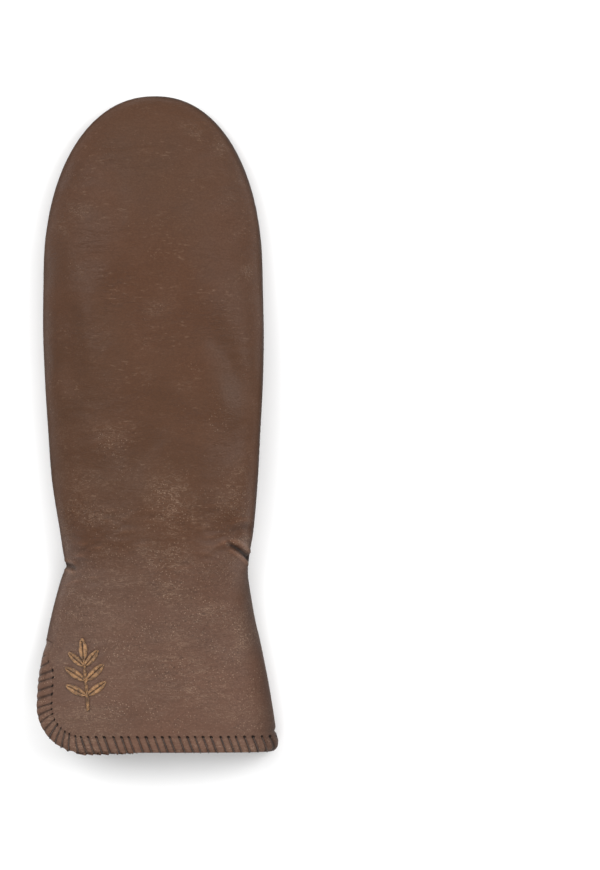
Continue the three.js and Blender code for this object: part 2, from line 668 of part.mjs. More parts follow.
function embroideredSprig() {
  const stem = new THREE.Shape();
  const stemTop = 0.72 * SPRIG_LENGTH;
  stem.moveTo(-STEM_WIDTH / 2, 0);
  stem.lineTo(STEM_WIDTH / 2, 0);
  stem.lineTo(STEM_WIDTH / 2, stemTop);
  stem.lineTo(-STEM_WIDTH / 2, stemTop);
  stem.closePath();
  let sprig = stitched(stem);
  const topLeaf = SPRIG_LENGTH - stemTop + 1;
  sprig = sprig.add(stitched(leafShape(0, stemTop - 1, topLeaf, 0.36 * topLeaf, 0)));
  for (const leaf of SPRIG_LEAVES) {
    for (const side of [-1, 1]) {
      const turn = side * rad(leaf.lean);
      const reach = (leaf.length * SPRIG_WIDTH) / 0.62;
      const lean = leafShape(0, leaf.at * SPRIG_LENGTH, reach, 0.3 * reach, turn);
      sprig = sprig.add(stitched(lean));
    }
  }
  const place = {
    x: SPRIG_PLACE.x * CUFF_WIDTH,
    y: WRIST_Y + SPRIG_PLACE.y * CUFF_LENGTH - SPRIG_LENGTH,
  };
  const onSlitSide = { side: -1, slit: true };
  return sprig.warp((point) => {
    const c = Math.cos(rad(SPRIG_TURN));
    const s = Math.sin(rad(SPRIG_TURN));
    const x = place.x + point[0] * c - point[1] * s;
    const y = place.y + point[0] * s + point[1] * c;
    point[2] += skinHeight(onSlitSide, true, x, y, 0) + CLEARANCE;
    point[0] = x;
    point[1] = y;
  });
}

// Named meshes, with the origin under the middle of the whole mitten
function meshOf(name, solid, material) {
  const mesh = solid.getMesh();
  const geometry = new THREE.BufferGeometry();
  geometry.setAttribute('position', new THREE.BufferAttribute(new Float32Array(mesh.vertProperties), 3));
  geometry.setIndex(new THREE.BufferAttribute(new Uint32Array(mesh.triVerts), 1));
  geometry.computeVertexNormals();
  const made = new THREE.Mesh(geometry, material);
  made.name = name;
  return made;
}

const palmHole = holePlug(0, PLUG_LOW, PLUG_HIGH);
const mitten = new THREE.Group();
mitten.add(
  meshOf('back_panel', panel(backColumns, 0), leatherBack),
  meshOf('palm_panel', panel(palmColumns, PALM_SETBACK).subtract(palmHole), leatherPalm),
  meshOf('thumb_stall', thumbStall(), leatherThumb),
  meshOf('knitted_lining', knittedLining(), knitted),
  meshOf('embroidered_sprig', embroideredSprig(), thread),
);
const box = new THREE.Box3().setFromObject(mitten);
const middle = box.getCenter(new THREE.Vector3());
mitten.position.set(-middle.x, -middle.y, -box.min.z);
mitten.updateMatrixWorld(true);

export default mitten;
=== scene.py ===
# A leather mitten for the left hand, lying palm down on a pale floor, seen from straight above.
# Lengths are in millimetres until a mesh is made, and y is 0 at the cuff's edge.
import math

import bmesh
import bpy
import numpy as np
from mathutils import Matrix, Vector
from mathutils.bvhtree import BVHTree


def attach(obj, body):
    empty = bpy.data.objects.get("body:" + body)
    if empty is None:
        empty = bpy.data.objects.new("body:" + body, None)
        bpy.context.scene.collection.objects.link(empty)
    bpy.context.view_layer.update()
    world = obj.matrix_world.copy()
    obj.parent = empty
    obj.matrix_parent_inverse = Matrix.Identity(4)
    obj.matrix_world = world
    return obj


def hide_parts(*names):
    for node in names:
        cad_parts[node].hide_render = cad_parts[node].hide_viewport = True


MM = 0.001
rng = np.random.default_rng(7)

# Sizes that the mitten's solids have
CUFF_LENGTH, HAND_LENGTH, TIP_LENGTH = 79.0, 201.0, 78.0
CUFF_WIDTH, WRIST_WIDTH, HAND_WIDTH = 102.8, 77.4, 94.2
CUFF_DEPTH, WRIST_DEPTH, HAND_DEPTH = 26.0, 26.0, 22.5
LEATHER, KNIT, CLEARANCE = 1.1, 1.6, 0.35
EDGE_HEIGHT, SEAM_INSET = 5.5, 5.0
SLIT_LENGTH, CORNER_RADIUS = 47.0, 20.0
PALM_SETBACK, LINING_RECESS = 1.5, 0.5
WRIST_RISE, GATHER_DEPTH, GATHER_REACH = 3.2, 2.4, 34.0
THUMB_LENGTH, THUMB_WIDTH, THUMB_DEPTH = 117.0, 43.0, 13.0
THUMB_BASE_ROUND, THUMB_TIP_ROUND = 20.0, 15.0
THUMB_HOLE_LENGTH, THUMB_HOLE_WIDTH, THUMB_HOLE_AT = 46.0, 23.0, 0.34
DRAPE_REACH, BACK_DRAPE_REACH, BACK_FOLLOWS = 30.0, 70.0, 0.68
# Exponents of the rounded forms: 2 is an ellipse, and more is squarer
BACK_SQUARENESS, PALM_SQUARENESS, THUMB_SQUARENESS = 2.4, 5.0, 3.4
TIP_ROUNDNESS, HOLE_SQUARENESS = 2.16, 2.4
FLATTENED_SHARE = 0.985
# Share of each width that lies left of the middle line: cuff, wrist, hand
LEFT_SHARES = 0.49, 0.488, 0.507
# How far out the slit's edge lies at its end and at the cuff, as a share of the closed fold
SLIT_EDGE = 0.965, 0.85

WRIST_Y = CUFF_LENGTH
ROUND_Y = CUFF_LENGTH + HAND_LENGTH - TIP_LENGTH
FULL_LIFT = THUMB_DEPTH + CLEARANCE
LINING_DEPTH = LEATHER + CLEARANCE
RISE_REACH = 1.4 * GATHER_REACH

# Whip stitches along the cuff's edge, and the hidden ones along the side seams
STITCH_PITCH, STITCH_INSET, STITCH_SLANT, STITCH_END = 3.5, 6.6, 2.4, 42.0
SEAM_PITCH = 3.1
THREAD = 0.42
FAR = 60.0  # further in than any stitch reaches
INSIDE_SHOWS = SLIT_LENGTH + 25  # the leather's inner side is made up to here
EVEN_WEAR_AND_GLINT = 0.15
FLAP_SHARE = 0.94  # where the back's last columns start on the flap
USUAL_HALF, USUAL_RISE = 46, 16  # a section's half width and rise, for spacing the columns
ABOVE_ALL, BELOW_ALL = 0.08, -0.03  # metres

CUFF_OUTLINE = [  # share of the cuff's length, then of its widening on the left and right
    (0, 1, 1), (0.12, 1.02, 0.93), (0.33, 1, 0.73), (0.49, 0.9, 0.54), (0.6, 0.7, 0.4),
    (0.71, 0.55, 0.24), (0.82, 0.38, 0.12), (0.9, 0.24, 0.04), (0.95, 0.14, 0), (1, 0, 0),
]
HAND_OUTLINE = [
    (0, 0, 0), (0.042, 0.13, 0.1), (0.126, 0.29, 0.35), (0.294, 0.62, 0.62),
    (0.461, 0.78, 0.78), (0.629, 0.91, 0.94), (0.797, 1, 1), (0.92, 1, 0.96), (1, 0.985, 0.92),
]
THUMB_LINE = [(0.15, 0.065), (0.185, 0.2), (0.18, 0.34), (0.085, 0.465), (-0.04, 0.575), (-0.115, 0.66)]
THUMB_OUTLINE = [(0, 0.56), (0.15, 0.76), (0.33, 0.98), (0.45, 1), (0.62, 0.9), (0.8, 0.75), (1, 0.64)]

# Dents of the back: x, y from the wrist, half sizes across and along, turn, depth
BACK_DENTS = [
    (34.8, 16.1, 10.1, 5.4, -20, 2.1), (36, 4, 10.1, 3.9, -35, 2.9), (-36.8, 0, 9.3, 3.1, 0, 2.6),
    (13.5, 10.1, 23.2, 9.3, 20, 1.3), (-36.8, 88.4, 6.2, 23.2, 0, 1.2), (32.9, 86.4, 6.2, 15.5, 24, 1.2),
]
# Creases of the back: from, to (from the middle of the whole mitten), width, depth
BACK_CREASES = [
    ((30.5, -51), (40.5, -59), 0.95, 1.5), ((31.5, -45.8), (40.5, -44.2), 1.6, 0.6),
    ((-41, -60.3), (-34.8, -61.8), 0.9, 0.9), ((24, -55.5), (32, -52), 1.3, 0.3),
    ((25.5, -51.5), (38.5, -52), 1.4, -0.4),
]
# Wide soft hollows of the back, given as creases are
BACK_HOLLOWS = [
    ((25, 35), (37, 12), 4.6, 0.35), ((-37.5, 52), (-36, 12), 3.6, 0.5),
    ((-32, -34), (-37.5, -50), 3, 0.35), ((-8, -40), (16, -47), 5, 0.4),
    ((26, -98), (38, -78), 5, 0.45), ((-20, -78), (4, -72), 5, 0.4),
]
# Where the back is rubbed and finely wrinkled, and where its painted glints gather: x, y, half sizes, amount
WORN_AND_GLINTING_PLACES = [
    (16.6, 125.1, 5.5, 3.6, 1), (27.7, 117.1, 4, 2.4, 1), (2.5, 131.6, 6, 1.2, 0.6),
    (13.2, 117, 6, 1.6, 0.55), (33, 97, 4, 4, 0.7), (37, 84, 3.4, 13, 0.7), (40.7, 64.4, 3.2, 6, 1),
    (-9.8, 84.4, 8, 1.6, 0.4), (-32.6, 66, 3.6, 3, 0.6), (-23.5, 36, 9, 4.5, 0.5),
    (4.8, -58, 9, 6, 0.9), (6, -70, 8, 6, 1), (35.3, -51, 5, 2.6, 1), (-4.4, -54, 4, 3, 0.7),
    (-35.7, -73, 4, 3, 0.8), (13.9, -109.6, 11, 8, 0.8), (37.6, -92.9, 4.5, 7, 0.8),
    (-15.8, -94.3, 6, 5, 0.7), (-24.2, -122.6, 9, 3, 0.7), (6, -32.7, 9, 8, 0.6),
    (33, -35.6, 6, 8, 0.6), (-28, -39, 8, 4, 0.6), (27, 5, 7, 8, 0.6), (-20, -7, 9, 7, 0.5),
    (0, -90, 12, 5, 0.6), (22, -80, 9, 5, 0.6), (-34, 90, 4, 5, 0.5),
]
# Long valleys that run from the gathers of the palm towards the cuff and the fingers
PALM_CREASES = [
    ((-8.6, -118), (-8.4, -64), 1.7, 1.5), ((36, -103), (23.5, -69), 2.2, 1.2),
    ((21.4, -93), (13.8, -67), 1.6, 1), ((9, -93), (2, -66), 1.6, 1),
    ((-25.8, -99), (-19.3, -66), 1.8, 1.1), ((-36, -83), (-27, -68), 1.6, 0.9),
    ((-12, -63), (-17, -42), 1.6, 0.9), ((-17.3, -64), (-31, -31), 1.8, 1.2),
    ((-31.5, -66), (-38, -52), 1.5, 0.9), ((-1.4, -63), (-0.4, -47), 1.5, 0.8),
    ((3.4, -63), (5, -49), 1.4, 0.7), ((-24, -62), (-35, -8), 2.6, 0.6), ((33, -60), (36, -30), 2.4, 0.7),
]
PALM_FOLDS = [  # reach towards the cuff and the fingers, and depth, from the little finger's side
    (0.5, 1, 0.7), (0.6, 1.5, 0.9), (0.95, 1.3, 1), (0.8, 0.9, 0.9), (0.6, 0.8, 1), (0.75, 0.7, 0.9),
    (1.35, 0.8, 1), (0.7, 0.7, 0.9), (0.8, 0.6, 1), (0.9, 0.6, 0.9), (1.1, 0.7, 1), (0.9, 1, 0.9),
    (0.6, 1.3, 0.7),
]
SIDE_FOLDS = (len(PALM_FOLDS) - 1) // 2
# The thumb's larger creases, where it bends and near its tip
THUMB_CREASES = [
    ((2, 17), (22, 10), 2, 0.7), ((6, -2), (30, -4), 2.2, 0.45), ((-10, 40), (8, 36), 1.8, 0.5),
    ((10, -30), (26, -36), 2, 0.5), ((-20.5, 57), (-15, 47), 0.8, 0.9), ((-18, 44), (-11, 46), 1, 0.5),
]
SEAM_TURN = 0.62  # the thumb's seam lies this far round from its outer side


def smooth(t):
    t = np.clip(t, 0, 1)
    return t * t * (3 - 2 * t)


def mix(a, b, t):
    return a + (b - a) * t


def hump(x, width, at=0.0):
    """A smooth hump, 1 high, that fades at about twice its width."""
    return np.exp(-(((x - at) / width) ** 2))


def unit(v):
    return v / np.maximum(np.linalg.norm(v, axis=-1, keepdims=True), 1e-9)


def xy(points):
    return points[..., 0], points[..., 1]


def stacked(*values):
    return np.stack(np.broadcast_arrays(*values), -1)


def heading(degrees):
    return math.cos(math.radians(degrees)), math.sin(math.radians(degrees))


def seen_from(at, ahead, x, y):
    """How far a place lies ahead of a point, and to its right."""
    px, py = x - at[0], y - at[1]
    return px * ahead[0] + py * ahead[1], px * ahead[1] - py * ahead[0]


def angles_round(sides):
    return np.linspace(0, 2 * np.pi, sides, endpoint=False)


def travelled(line):
    """Distance along a line of points, at each of them."""
    return np.r_[0, np.cumsum(np.linalg.norm(np.diff(line, axis=0), axis=-1))]


def on_line(at, steps, line):
    """Points of a line at given distances along it."""
    return np.stack([np.interp(at, steps, line[:, k]) for k in (0, 1)], -1)


def curve(table, column, at):
    """Smooth curve through one column of a table, the same as the solids follow."""
    xs = np.array([row[0] for row in table])
    ys = np.array([row[column] for row in table])
    last = len(xs) - 1
    before = np.maximum(np.arange(last + 1) - 1, 0)
    after = np.minimum(np.arange(last + 1) + 1, last)
    slopes = (ys[after] - ys[before]) / (xs[after] - xs[before])
    at = np.asarray(at, float)
    k = np.clip(np.searchsorted(xs, at, side="right") - 1, 0, last - 1)
    span = xs[k + 1] - xs[k]
    t = np.clip((at - xs[k]) / span, 0, 1)
    bend = slopes[k] * span * (t**3 - 2 * t * t + t) + slopes[k + 1] * span * (t**3 - t * t)
    return mix(ys[k], ys[k + 1], smooth(t)) + bend


def half_width(side, y):
    """Distance from the middle line to the side fold; past ROUND_Y it stays the same."""
    side, y = np.broadcast_arrays(np.asarray(side), np.asarray(y, float))
    left = side < 0
    cuff, wrist, hand = (
        width * np.where(left, share, 1 - share)
        for width, share in zip((CUFF_WIDTH, WRIST_WIDTH, HAND_WIDTH), LEFT_SHARES)
    )
    low, high = y / CUFF_LENGTH, np.minimum(1, (y - WRIST_Y) / (ROUND_Y - WRIST_Y))
    in_cuff = np.where(left, curve(CUFF_OUTLINE, 1, low), curve(CUFF_OUTLINE, 2, low))
    in_hand = np.where(left, curve(HAND_OUTLINE, 1, high), curve(HAND_OUTLINE, 2, high))
    return np.where(y < WRIST_Y, mix(wrist, cuff, in_cuff), mix(wrist, hand, in_hand))


# From here to the frame's place, and where the cuff's edge and its left corner end
_ys = np.linspace(0, ROUND_Y, 400)
SHIFT_X = (half_width(-1, _ys).max() - half_width(1, _ys).max()) / 2
SHIFT_Y = -(CUFF_LENGTH + HAND_LENGTH) / 2
LEFT_END, RIGHT_END = float(half_width(-1, 0.0)), float(half_width(1, 0.0))
CORNER_X = CORNER_RADIUS - LEFT_END


def slit_edge(y):
    """Distance from the middle line to the cut edge beside the slit."""
    up = np.clip(CORNER_RADIUS - y, 0, CORNER_RADIUS)
    return half_width(-1, y) - CORNER_RADIUS + np.sqrt(CORNER_RADIUS**2 - up**2)


def back_height(y):
    cuff = mix(CUFF_DEPTH, WRIST_DEPTH, smooth(y / CUFF_LENGTH))
    return np.where(y < WRIST_Y, cuff, mix(WRIST_DEPTH, HAND_DEPTH, smooth(3 * (y - WRIST_Y) / HAND_LENGTH)))


def bulge(rho, n):
    return np.maximum(0, 1 - np.minimum(1, rho) ** n) ** (1 / n)


def catmull(points, per_span=60):
    """A smooth line through a few points."""
    p = [np.array(q, float) for q in points]
    p = [2 * p[0] - p[1], *p, 2 * p[-1] - p[-2]]
    out = []
    for a, b, c, d in zip(p, p[1:], p[2:], p[3:]):
        d0, d1, d2 = (np.linalg.norm(v - u) ** 0.5 for u, v in ((a, b), (b, c), (c, d)))
        t1 = ((b - a) / d0 - (c - a) / (d0 + d1) + (c - b) / d1) * d1
        t2 = ((c - b) / d1 - (d - b) / (d1 + d2) + (d - c) / d2) * d1
        t = np.linspace(0, 1, per_span, endpoint=False)[:, None]
        out.append(b + t1 * t + (3 * (c - b) - 2 * t1 - t2) * t**2 + (2 * (b - c) + t1 + t2) * t**3)
    return np.vstack([*out, p[-2][None]])


# The thumb's middle line, and how far a place lies beside the thumb
_thumb = catmull([(x * HAND_WIDTH, WRIST_Y + y * HAND_LENGTH) for x, y in THUMB_LINE])
_steps = travelled(_thumb)


def thumb_place(along):
    """Points of the thumb's middle line, with their directions."""
    at = np.clip(np.asarray(along, float) / THUMB_LENGTH, 0, 1) * _steps[-1]
    before, after = (on_line(np.clip(at + d, 0, _steps[-1]), _steps, _thumb) for d in (-0.5, 0.5))
    return on_line(at, _steps, _thumb), unit(after - before)


def thumb_half(along):
    share = (along - THUMB_BASE_ROUND) / (THUMB_LENGTH - THUMB_BASE_ROUND - THUMB_TIP_ROUND)
    return THUMB_WIDTH / 2 * curve(THUMB_OUTLINE, 1, np.clip(share, 0, 1))


_discs = np.linspace(THUMB_BASE_ROUND, THUMB_LENGTH - THUMB_TIP_ROUND, 49)
_disc_at, _disc_half = thumb_place(_discs)[0], thumb_half(_discs)


def beside_thumb(x, y):
    nearest = np.full(np.shape(x), 1e9)
    for (dx, dy), half in zip(_disc_at, _disc_half):
        nearest = np.minimum(nearest, np.hypot(x - dx, y - dy) - half)
    return np.maximum(0, nearest)


def thumb_hole_distance(x, y):
    """Less than 1 inside the hole between the palm and the thumb."""
    u, v = seen_from(*thumb_place(THUMB_HOLE_AT * THUMB_LENGTH), x, y)
    n = HOLE_SQUARENESS
    return (np.abs(2 * u / THUMB_HOLE_LENGTH) ** n + np.abs(2 * v / THUMB_HOLE_WIDTH) ** n) ** (1 / n)


def palm_lift(x, y):
    return FULL_LIFT * (1 - smooth(beside_thumb(x, y) / DRAPE_REACH))


def back_lift(x, y):
    return FULL_LIFT * BACK_FOLLOWS * (1 - smooth(beside_thumb(x, y) / BACK_DRAPE_REACH))


def wrist_rise(y):
    return WRIST_RISE * (1 - smooth(np.abs(y - WRIST_Y) / RISE_REACH))


def waves(x, y, size, seed, count=14):
    """Smooth random unevenness between about -1 and 1, with bumps of about the given size."""
    picks = np.random.default_rng(seed)
    total = 0
    for _ in range(count):
        turn, phase = picks.uniform(0, 2 * np.pi, 2)
        length = size * picks.uniform(0.7, 1.7)
        total = total + np.cos(2 * np.pi * (x * np.cos(turn) + y * np.sin(turn)) / length + phase)
    return total / math.sqrt(count / 2) / 1.6


def dent_drop(x, y):
    drop = 0
    for dx, dy, across, along, turn, depth in BACK_DENTS:
        u, v = seen_from((dx, WRIST_Y + dy), heading(turn), x, y)
        drop = drop + depth * hump(u, across) * hump(v, along)
    return drop


def crease_drop(x, y, creases):
    """Creases are valleys with a low ridge on each side, fading at both ends."""
    drop = 0
    for (ax, ay), (bx, by), width, depth in creases:
        length = math.hypot(bx - ax, by - ay)
        ahead = (bx - ax) / length, (by - ay) / length
        along, away = seen_from((ax - SHIFT_X, ay - SHIFT_Y), ahead, x, y)
        along = along / length
        away = away + length * np.sin(np.pi * np.clip(along, 0, 1)) * (0.06 if width < 2 else 0.03)
        fade = smooth((along + 0.15) / 0.35) * smooth((1.15 - along) / 0.35)
        drop = drop + depth * fade * (hump(away, width) - 0.38 * hump(np.abs(away), width, 2.1 * width))
    return drop


def random_creases(count, seed, x_range, y_range, length, width, depth, turn, spread):
    picks = np.random.default_rng(seed)
    found = []
    for _ in range(count):
        x, y = picks.uniform(*x_range), picks.uniform(*y_range)
        angle = math.radians(turn + picks.normal(0, spread))
        half = picks.uniform(*length) / 2
        dx, dy = half * math.cos(angle), half * math.sin(angle)
        found.append(((x - dx, y - dy), (x + dx, y + dy), picks.uniform(*width), picks.uniform(*depth)))
    return found


FINE_BACK = (
    random_creases(46, 11, (-38, 38), (-70, -35), (7, 22), (0.7, 1.3), (0.05, 0.16), 4, 16)
    + random_creases(60, 12, (-44, 42), (-35, 120), (8, 26), (0.8, 1.6), (0.03, 0.09), 2, 14)
    + random_creases(26, 13, (-46, 46), (-134, -72), (8, 24), (0.8, 1.6), (0.03, 0.08), 8, 20)
)
FINE_PALM = (
    random_creases(50, 21, (-40, 40), (-30, 120), (8, 24), (0.8, 1.6), (0.04, 0.12), 84, 22)
    + random_creases(24, 22, (-46, 46), (-134, -95), (8, 24), (0.8, 1.6), (0.03, 0.09), 80, 30)
)
FINE_THUMB = random_creases(60, 31, (-14, 36), (-60, 64), (6, 20), (0.8, 1.6), (0.04, 0.12), 70, 30)


def edge_place(x, y, setback):
    """Distance in from the cuff's cut edge, and along it, leftwards and then up the slit."""
    y = y - setback
    widened = half_width(-1, np.clip(y, 0, CORNER_RADIUS)) - LEFT_END
    beyond = CORNER_X - widened - x
    below = CORNER_RADIUS - y
    from_middle = np.hypot(np.maximum(beyond, 0), np.maximum(below, 0))
    around = np.arctan2(np.maximum(beyond, 0), np.maximum(below, 1e-6))
    where = [(beyond <= 0) & (below > 0), (beyond > 0) & (below > 0)]
    beside_slit = np.minimum(slit_edge(y) - setback + x, FAR)
    quarter = CORNER_RADIUS * np.pi / 2
    inward = np.select(where, [y, CORNER_RADIUS - from_middle], beside_slit)
    along = np.select(where, [-x, CORNER_RADIUS * around - CORNER_X], quarter - CORNER_X - below)
    return inward, along


def uneven(along):
    """The stitches are sewn by hand, so they come a little early or late."""
    return along + 0.16 * np.sin(1.1 * along) + 0.25 * np.sin(0.41 * along + 1)


def seam_stitches(along):
    """Goes from 1 at each hidden stitch to -1 between them."""
    return np.cos(2 * np.pi * uneven(along) / SEAM_PITCH)


def stitch_inset(y):
    """The stitches reach less far in from the edge towards the slit's end."""
    return mix(2.2, STITCH_INSET, smooth((STITCH_END - y) / 9))


def stitch_place(x, y, setback):
    """A whole number along each whip stitch, and how far in from the edge a place lies."""
    inward, along = edge_place(x, y, setback)
    inward = inward * STITCH_INSET / stitch_inset(y)
    return uneven(along + STITCH_SLANT * (1 - inward / STITCH_INSET)) / STITCH_PITCH, inward


def stitch_dents(x, y, setback):
    """How far the whip stitches press the leather in near the cut edge."""
    phase, inward = stitch_place(x, y, setback)
    off = hump(np.abs(phase - np.round(phase)) * STITCH_PITCH, 0.6)
    window = smooth(STITCH_INSET + 0.5 - inward) * smooth((STITCH_END + 1 - y) / 2)
    groove, hole = 0.42 * off, 0.5 * off * hump(inward, 0.6, STITCH_INSET)
    rolled = 0.6 * (1 - smooth(inward / 2.2)) ** 2 * smooth((SLIT_LENGTH + 1 - y) / 2)
    return (groove + hole + 0.15 * hump(inward, 1.5, STITCH_INSET)) * window + rolled


def stitch_marks(x, y, setback, wear_and_glint=EVEN_WEAR_AND_GLINT):
    slanted, inward = stitch_place(x, y, setback)
    return stacked(slanted, np.where(y < STITCH_END, inward, FAR), wear_and_glint)


# The sprig's place on the cuff, and its shape in its own plane
SPRIG_LENGTH, SPRIG_WIDTH = 30.5, 20.5
SPRIG_AT = (-0.273 * CUFF_WIDTH, WRIST_Y - 0.384 * CUFF_LENGTH - SPRIG_LENGTH)
SPRIG_ACROSS = heading(5)
SPRIG_STEM = 0.72 * SPRIG_LENGTH
SATIN_PITCH, STEM_PITCH = 0.42, 0.62
# Heights over the leather from a leaf's vein to its edge, and one stitch of the stem
SATIN_HEIGHTS = 0.05, 0.5, 0.72, 0.66, 0.42, -0.3
STEM_STITCH = [
    (-0.66, -0.5, -0.3), (-0.42, -0.28, 0.36), (0, 0.1, 0.62), (0.42, 0.48, 0.36), (0.66, 0.7, -0.3),
]


def sprig_leaves():
    """Each leaf: foot, direction, length and greatest width."""
    top = SPRIG_LENGTH - SPRIG_STEM + 1
    leaves = [((0.0, SPRIG_STEM - 1), (0.0, 1.0), top, 0.36 * top)]
    for at, size, lean in ((0.2, 0.3, 58), (0.41, 0.31, 52), (0.61, 0.27, 44)):
        up, out = heading(lean)
        reach = size * SPRIG_WIDTH / 0.62
        for side in (-1, 1):
            leaves.append(((0.25 * side, at * SPRIG_LENGTH), (side * out, up), reach, 0.33 * reach))
    return leaves


def leaf_half(share, width):
    """Half a leaf's width at a share of its length."""
    return 0.5 * width * (4 * share * (1 - share)) ** 0.8


def sprig_pull(x, y):
    """The satin stitches pull the leather down beside them."""
    c, s = SPRIG_ACROSS
    v, u = seen_from(SPRIG_AT, (-s, c), x, y)
    away = np.hypot(u, np.maximum(0, np.maximum(-v, v - SPRIG_STEM))) - 0.6
    for foot, ahead, reach, width in sprig_leaves():
        along, across = seen_from(foot, ahead, u, v)
        t = np.clip(along / reach, 0, 1)
        beyond = np.abs(across) - leaf_half(t, width)
        away = np.minimum(away, np.hypot(beyond, along - t * reach) * np.sign(beyond + 1e-9))
    return 0.3 * hump(away, 0.75) + 0.1 * waves(x, y, 4.5, 61) * hump(np.maximum(away, 0), 3.0)


def opened(side, y):
    """How far the flaps beside the slit have opened: 1 is closed, and less is open."""
    end = SLIT_LENGTH + 1.5
    flap = mix(1.0, mix(*SLIT_EDGE, smooth(1 - y / SLIT_LENGTH)), smooth((end - y) / 9))
    return np.where((side < 0) & (y < end), flap, 1.0)


def outness(side, x, y):
    """0 on the middle line, and 1 at the fold."""
    flat = np.abs(x) * opened(side, y) / half_width(side, y)
    n = TIP_ROUNDNESS
    over = np.maximum(0, y - ROUND_Y) / TIP_LENGTH
    return np.where(y > ROUND_Y, (flat**n + over**n) ** (1 / n), flat)


def back_share(side, x, y):
    return bulge(outness(side, x, y), BACK_SQUARENESS)


def palm_share(side, x, y):
    return np.minimum(1, bulge(outness(side, x, y), PALM_SQUARENESS) / FLATTENED_SHARE)


def back_z(side, x, y):
    share = back_share(side, x, y)
    top = back_height(y) - EDGE_HEIGHT
    lift = mix(palm_lift(x, y), back_lift(x, y), (1 + share) / 2)
    return EDGE_HEIGHT + top * share + lift - dent_drop(x, y) * share


def back_relief(side, x, y):
    """How far the back's skin stands out from its plain form, and how deep its creases are."""
    wide = smooth(back_share(side, x, y) / 0.45)
    out = 0.5 * waves(x, y, 52, 3) + 0.26 * waves(x, y * 1.4, 19, 4) + 0.07 * waves(x * 0.8, y * 1.6, 7, 5)
    creases = crease_drop(x, y, BACK_CREASES)
    fine = crease_drop(x, y, FINE_BACK) * (0.3 + 0.7 * wide)
    pull = sprig_pull(x, y)
    out = wide * (out - crease_drop(x, y, BACK_HOLLOWS)) - creases - fine - stitch_dents(x, y, 0.0) - pull
    # the second value is painted shade in the creases' valleys and beside the sprig's stitches, and painted
    # highlight on the creases' ridges
    return out, 0.8 * creases + 1.5 * fine + 1.1 * pull


def fold_drop(side, x, y, lifted):
    """Rounded folds of the gathered palm, with narrow valleys between them."""
    place = x / (half_width(side, y) - SEAM_INSET) * (SIDE_FOLDS + 1 / 3)
    place = place + 0.05 * waves(x, y, 20, 31)
    nearest = np.clip(np.round(place), -SIDE_FOLDS, SIDE_FOLDS).astype(int)
    table = np.array(PALM_FOLDS)[nearest + SIDE_FOLDS]
    reach = GATHER_REACH * np.where(y < WRIST_Y, table[..., 0], table[..., 1])
    crest = np.maximum(0, (1 + 2 * np.cos(2 * np.pi * np.clip(place - nearest, -0.5, 0.5))) / 3)
    crest = mix(crest, np.sqrt(crest), 0.6)
    fade = (1 - smooth(np.abs(y - WRIST_Y) / reach)) ** 0.8
    free = wrist_rise(y) / WRIST_RISE * (1 - lifted / FULL_LIFT)
    return GATHER_DEPTH * table[..., 2] * crest * fade * free * (1 - 0.35 * hump(y, 1.6, WRIST_Y))


def palm_z(side, x, y, folded=True):
    share = palm_share(side, x, y)
    over = palm_lift(x, y)
    lift = mix(over, back_lift(x, y), (1 - share) / 2)
    raised = ((lift**4 + (wrist_rise(y) * share) ** 4) + 1e-12) ** 0.25
    z = EDGE_HEIGHT - EDGE_HEIGHT * share + raised
    return z - fold_drop(side, x, y, over) if folded else z


def palm_relief(side, x, y):
    """How far the palm's skin stands out from its plain form, and how deep its creases are."""
    share = palm_share(side, x, y)
    loose = smooth((wrist_rise(y) + palm_lift(x, y)) / 2.0)
    fine = crease_drop(x, y, FINE_PALM) * share
    long = crease_drop(x, y, PALM_CREASES) * share * (0.35 + 0.65 * loose)
    valley = 0.7 * GATHER_DEPTH - fold_drop(side, x, y, palm_lift(x, y))
    out = share * loose * (0.22 * waves(x, y, 30, 8) + 0.12 * waves(x * 1.6, y, 9, 9))
    # the leather of the palm stands up in a roll round the foot of the thumb
    beside = beside_thumb(x, y)
    foot = smooth((WRIST_Y + 34 - y) / 12) * smooth(beside / 0.8)
    out = out + 1.1 * foot * (hump(beside, 1.1, 2.4) - 0.8 * hump(beside, 1.2, 5.2))
    # no valley reaches the lining
    out = np.maximum(out - fine - 1.2 * long, -1.15) - stitch_dents(x, y, PALM_SETBACK)
    # the second value is painted shade in the creases' valleys and between the gathers, and painted
    # highlight on their ridges and crests
    return out, 1.4 * fine + 0.22 * long + 0.3 * valley * smooth(wrist_rise(y) / 2.2)


def side_rows(fine):
    """Where the grids have rows along the sides: more of them where the form is finer."""
    steps = [0.0]
    while steps[-1] < ROUND_Y:
        y = steps[-1]
        finer = y < CORNER_RADIUS or abs(y - WRIST_Y) < 24 or abs(y - SLIT_LENGTH) < 6
        step = 0.4 if y < 9 else 0.75 if finer else 1.0 if y < SLIT_LENGTH else 1.5
        steps.append(y + step * fine)
    rows = np.array([*steps[:-1], ROUND_Y])
    rows[np.argmin(np.abs(rows - SLIT_LENGTH))] = SLIT_LENGTH
    return rows


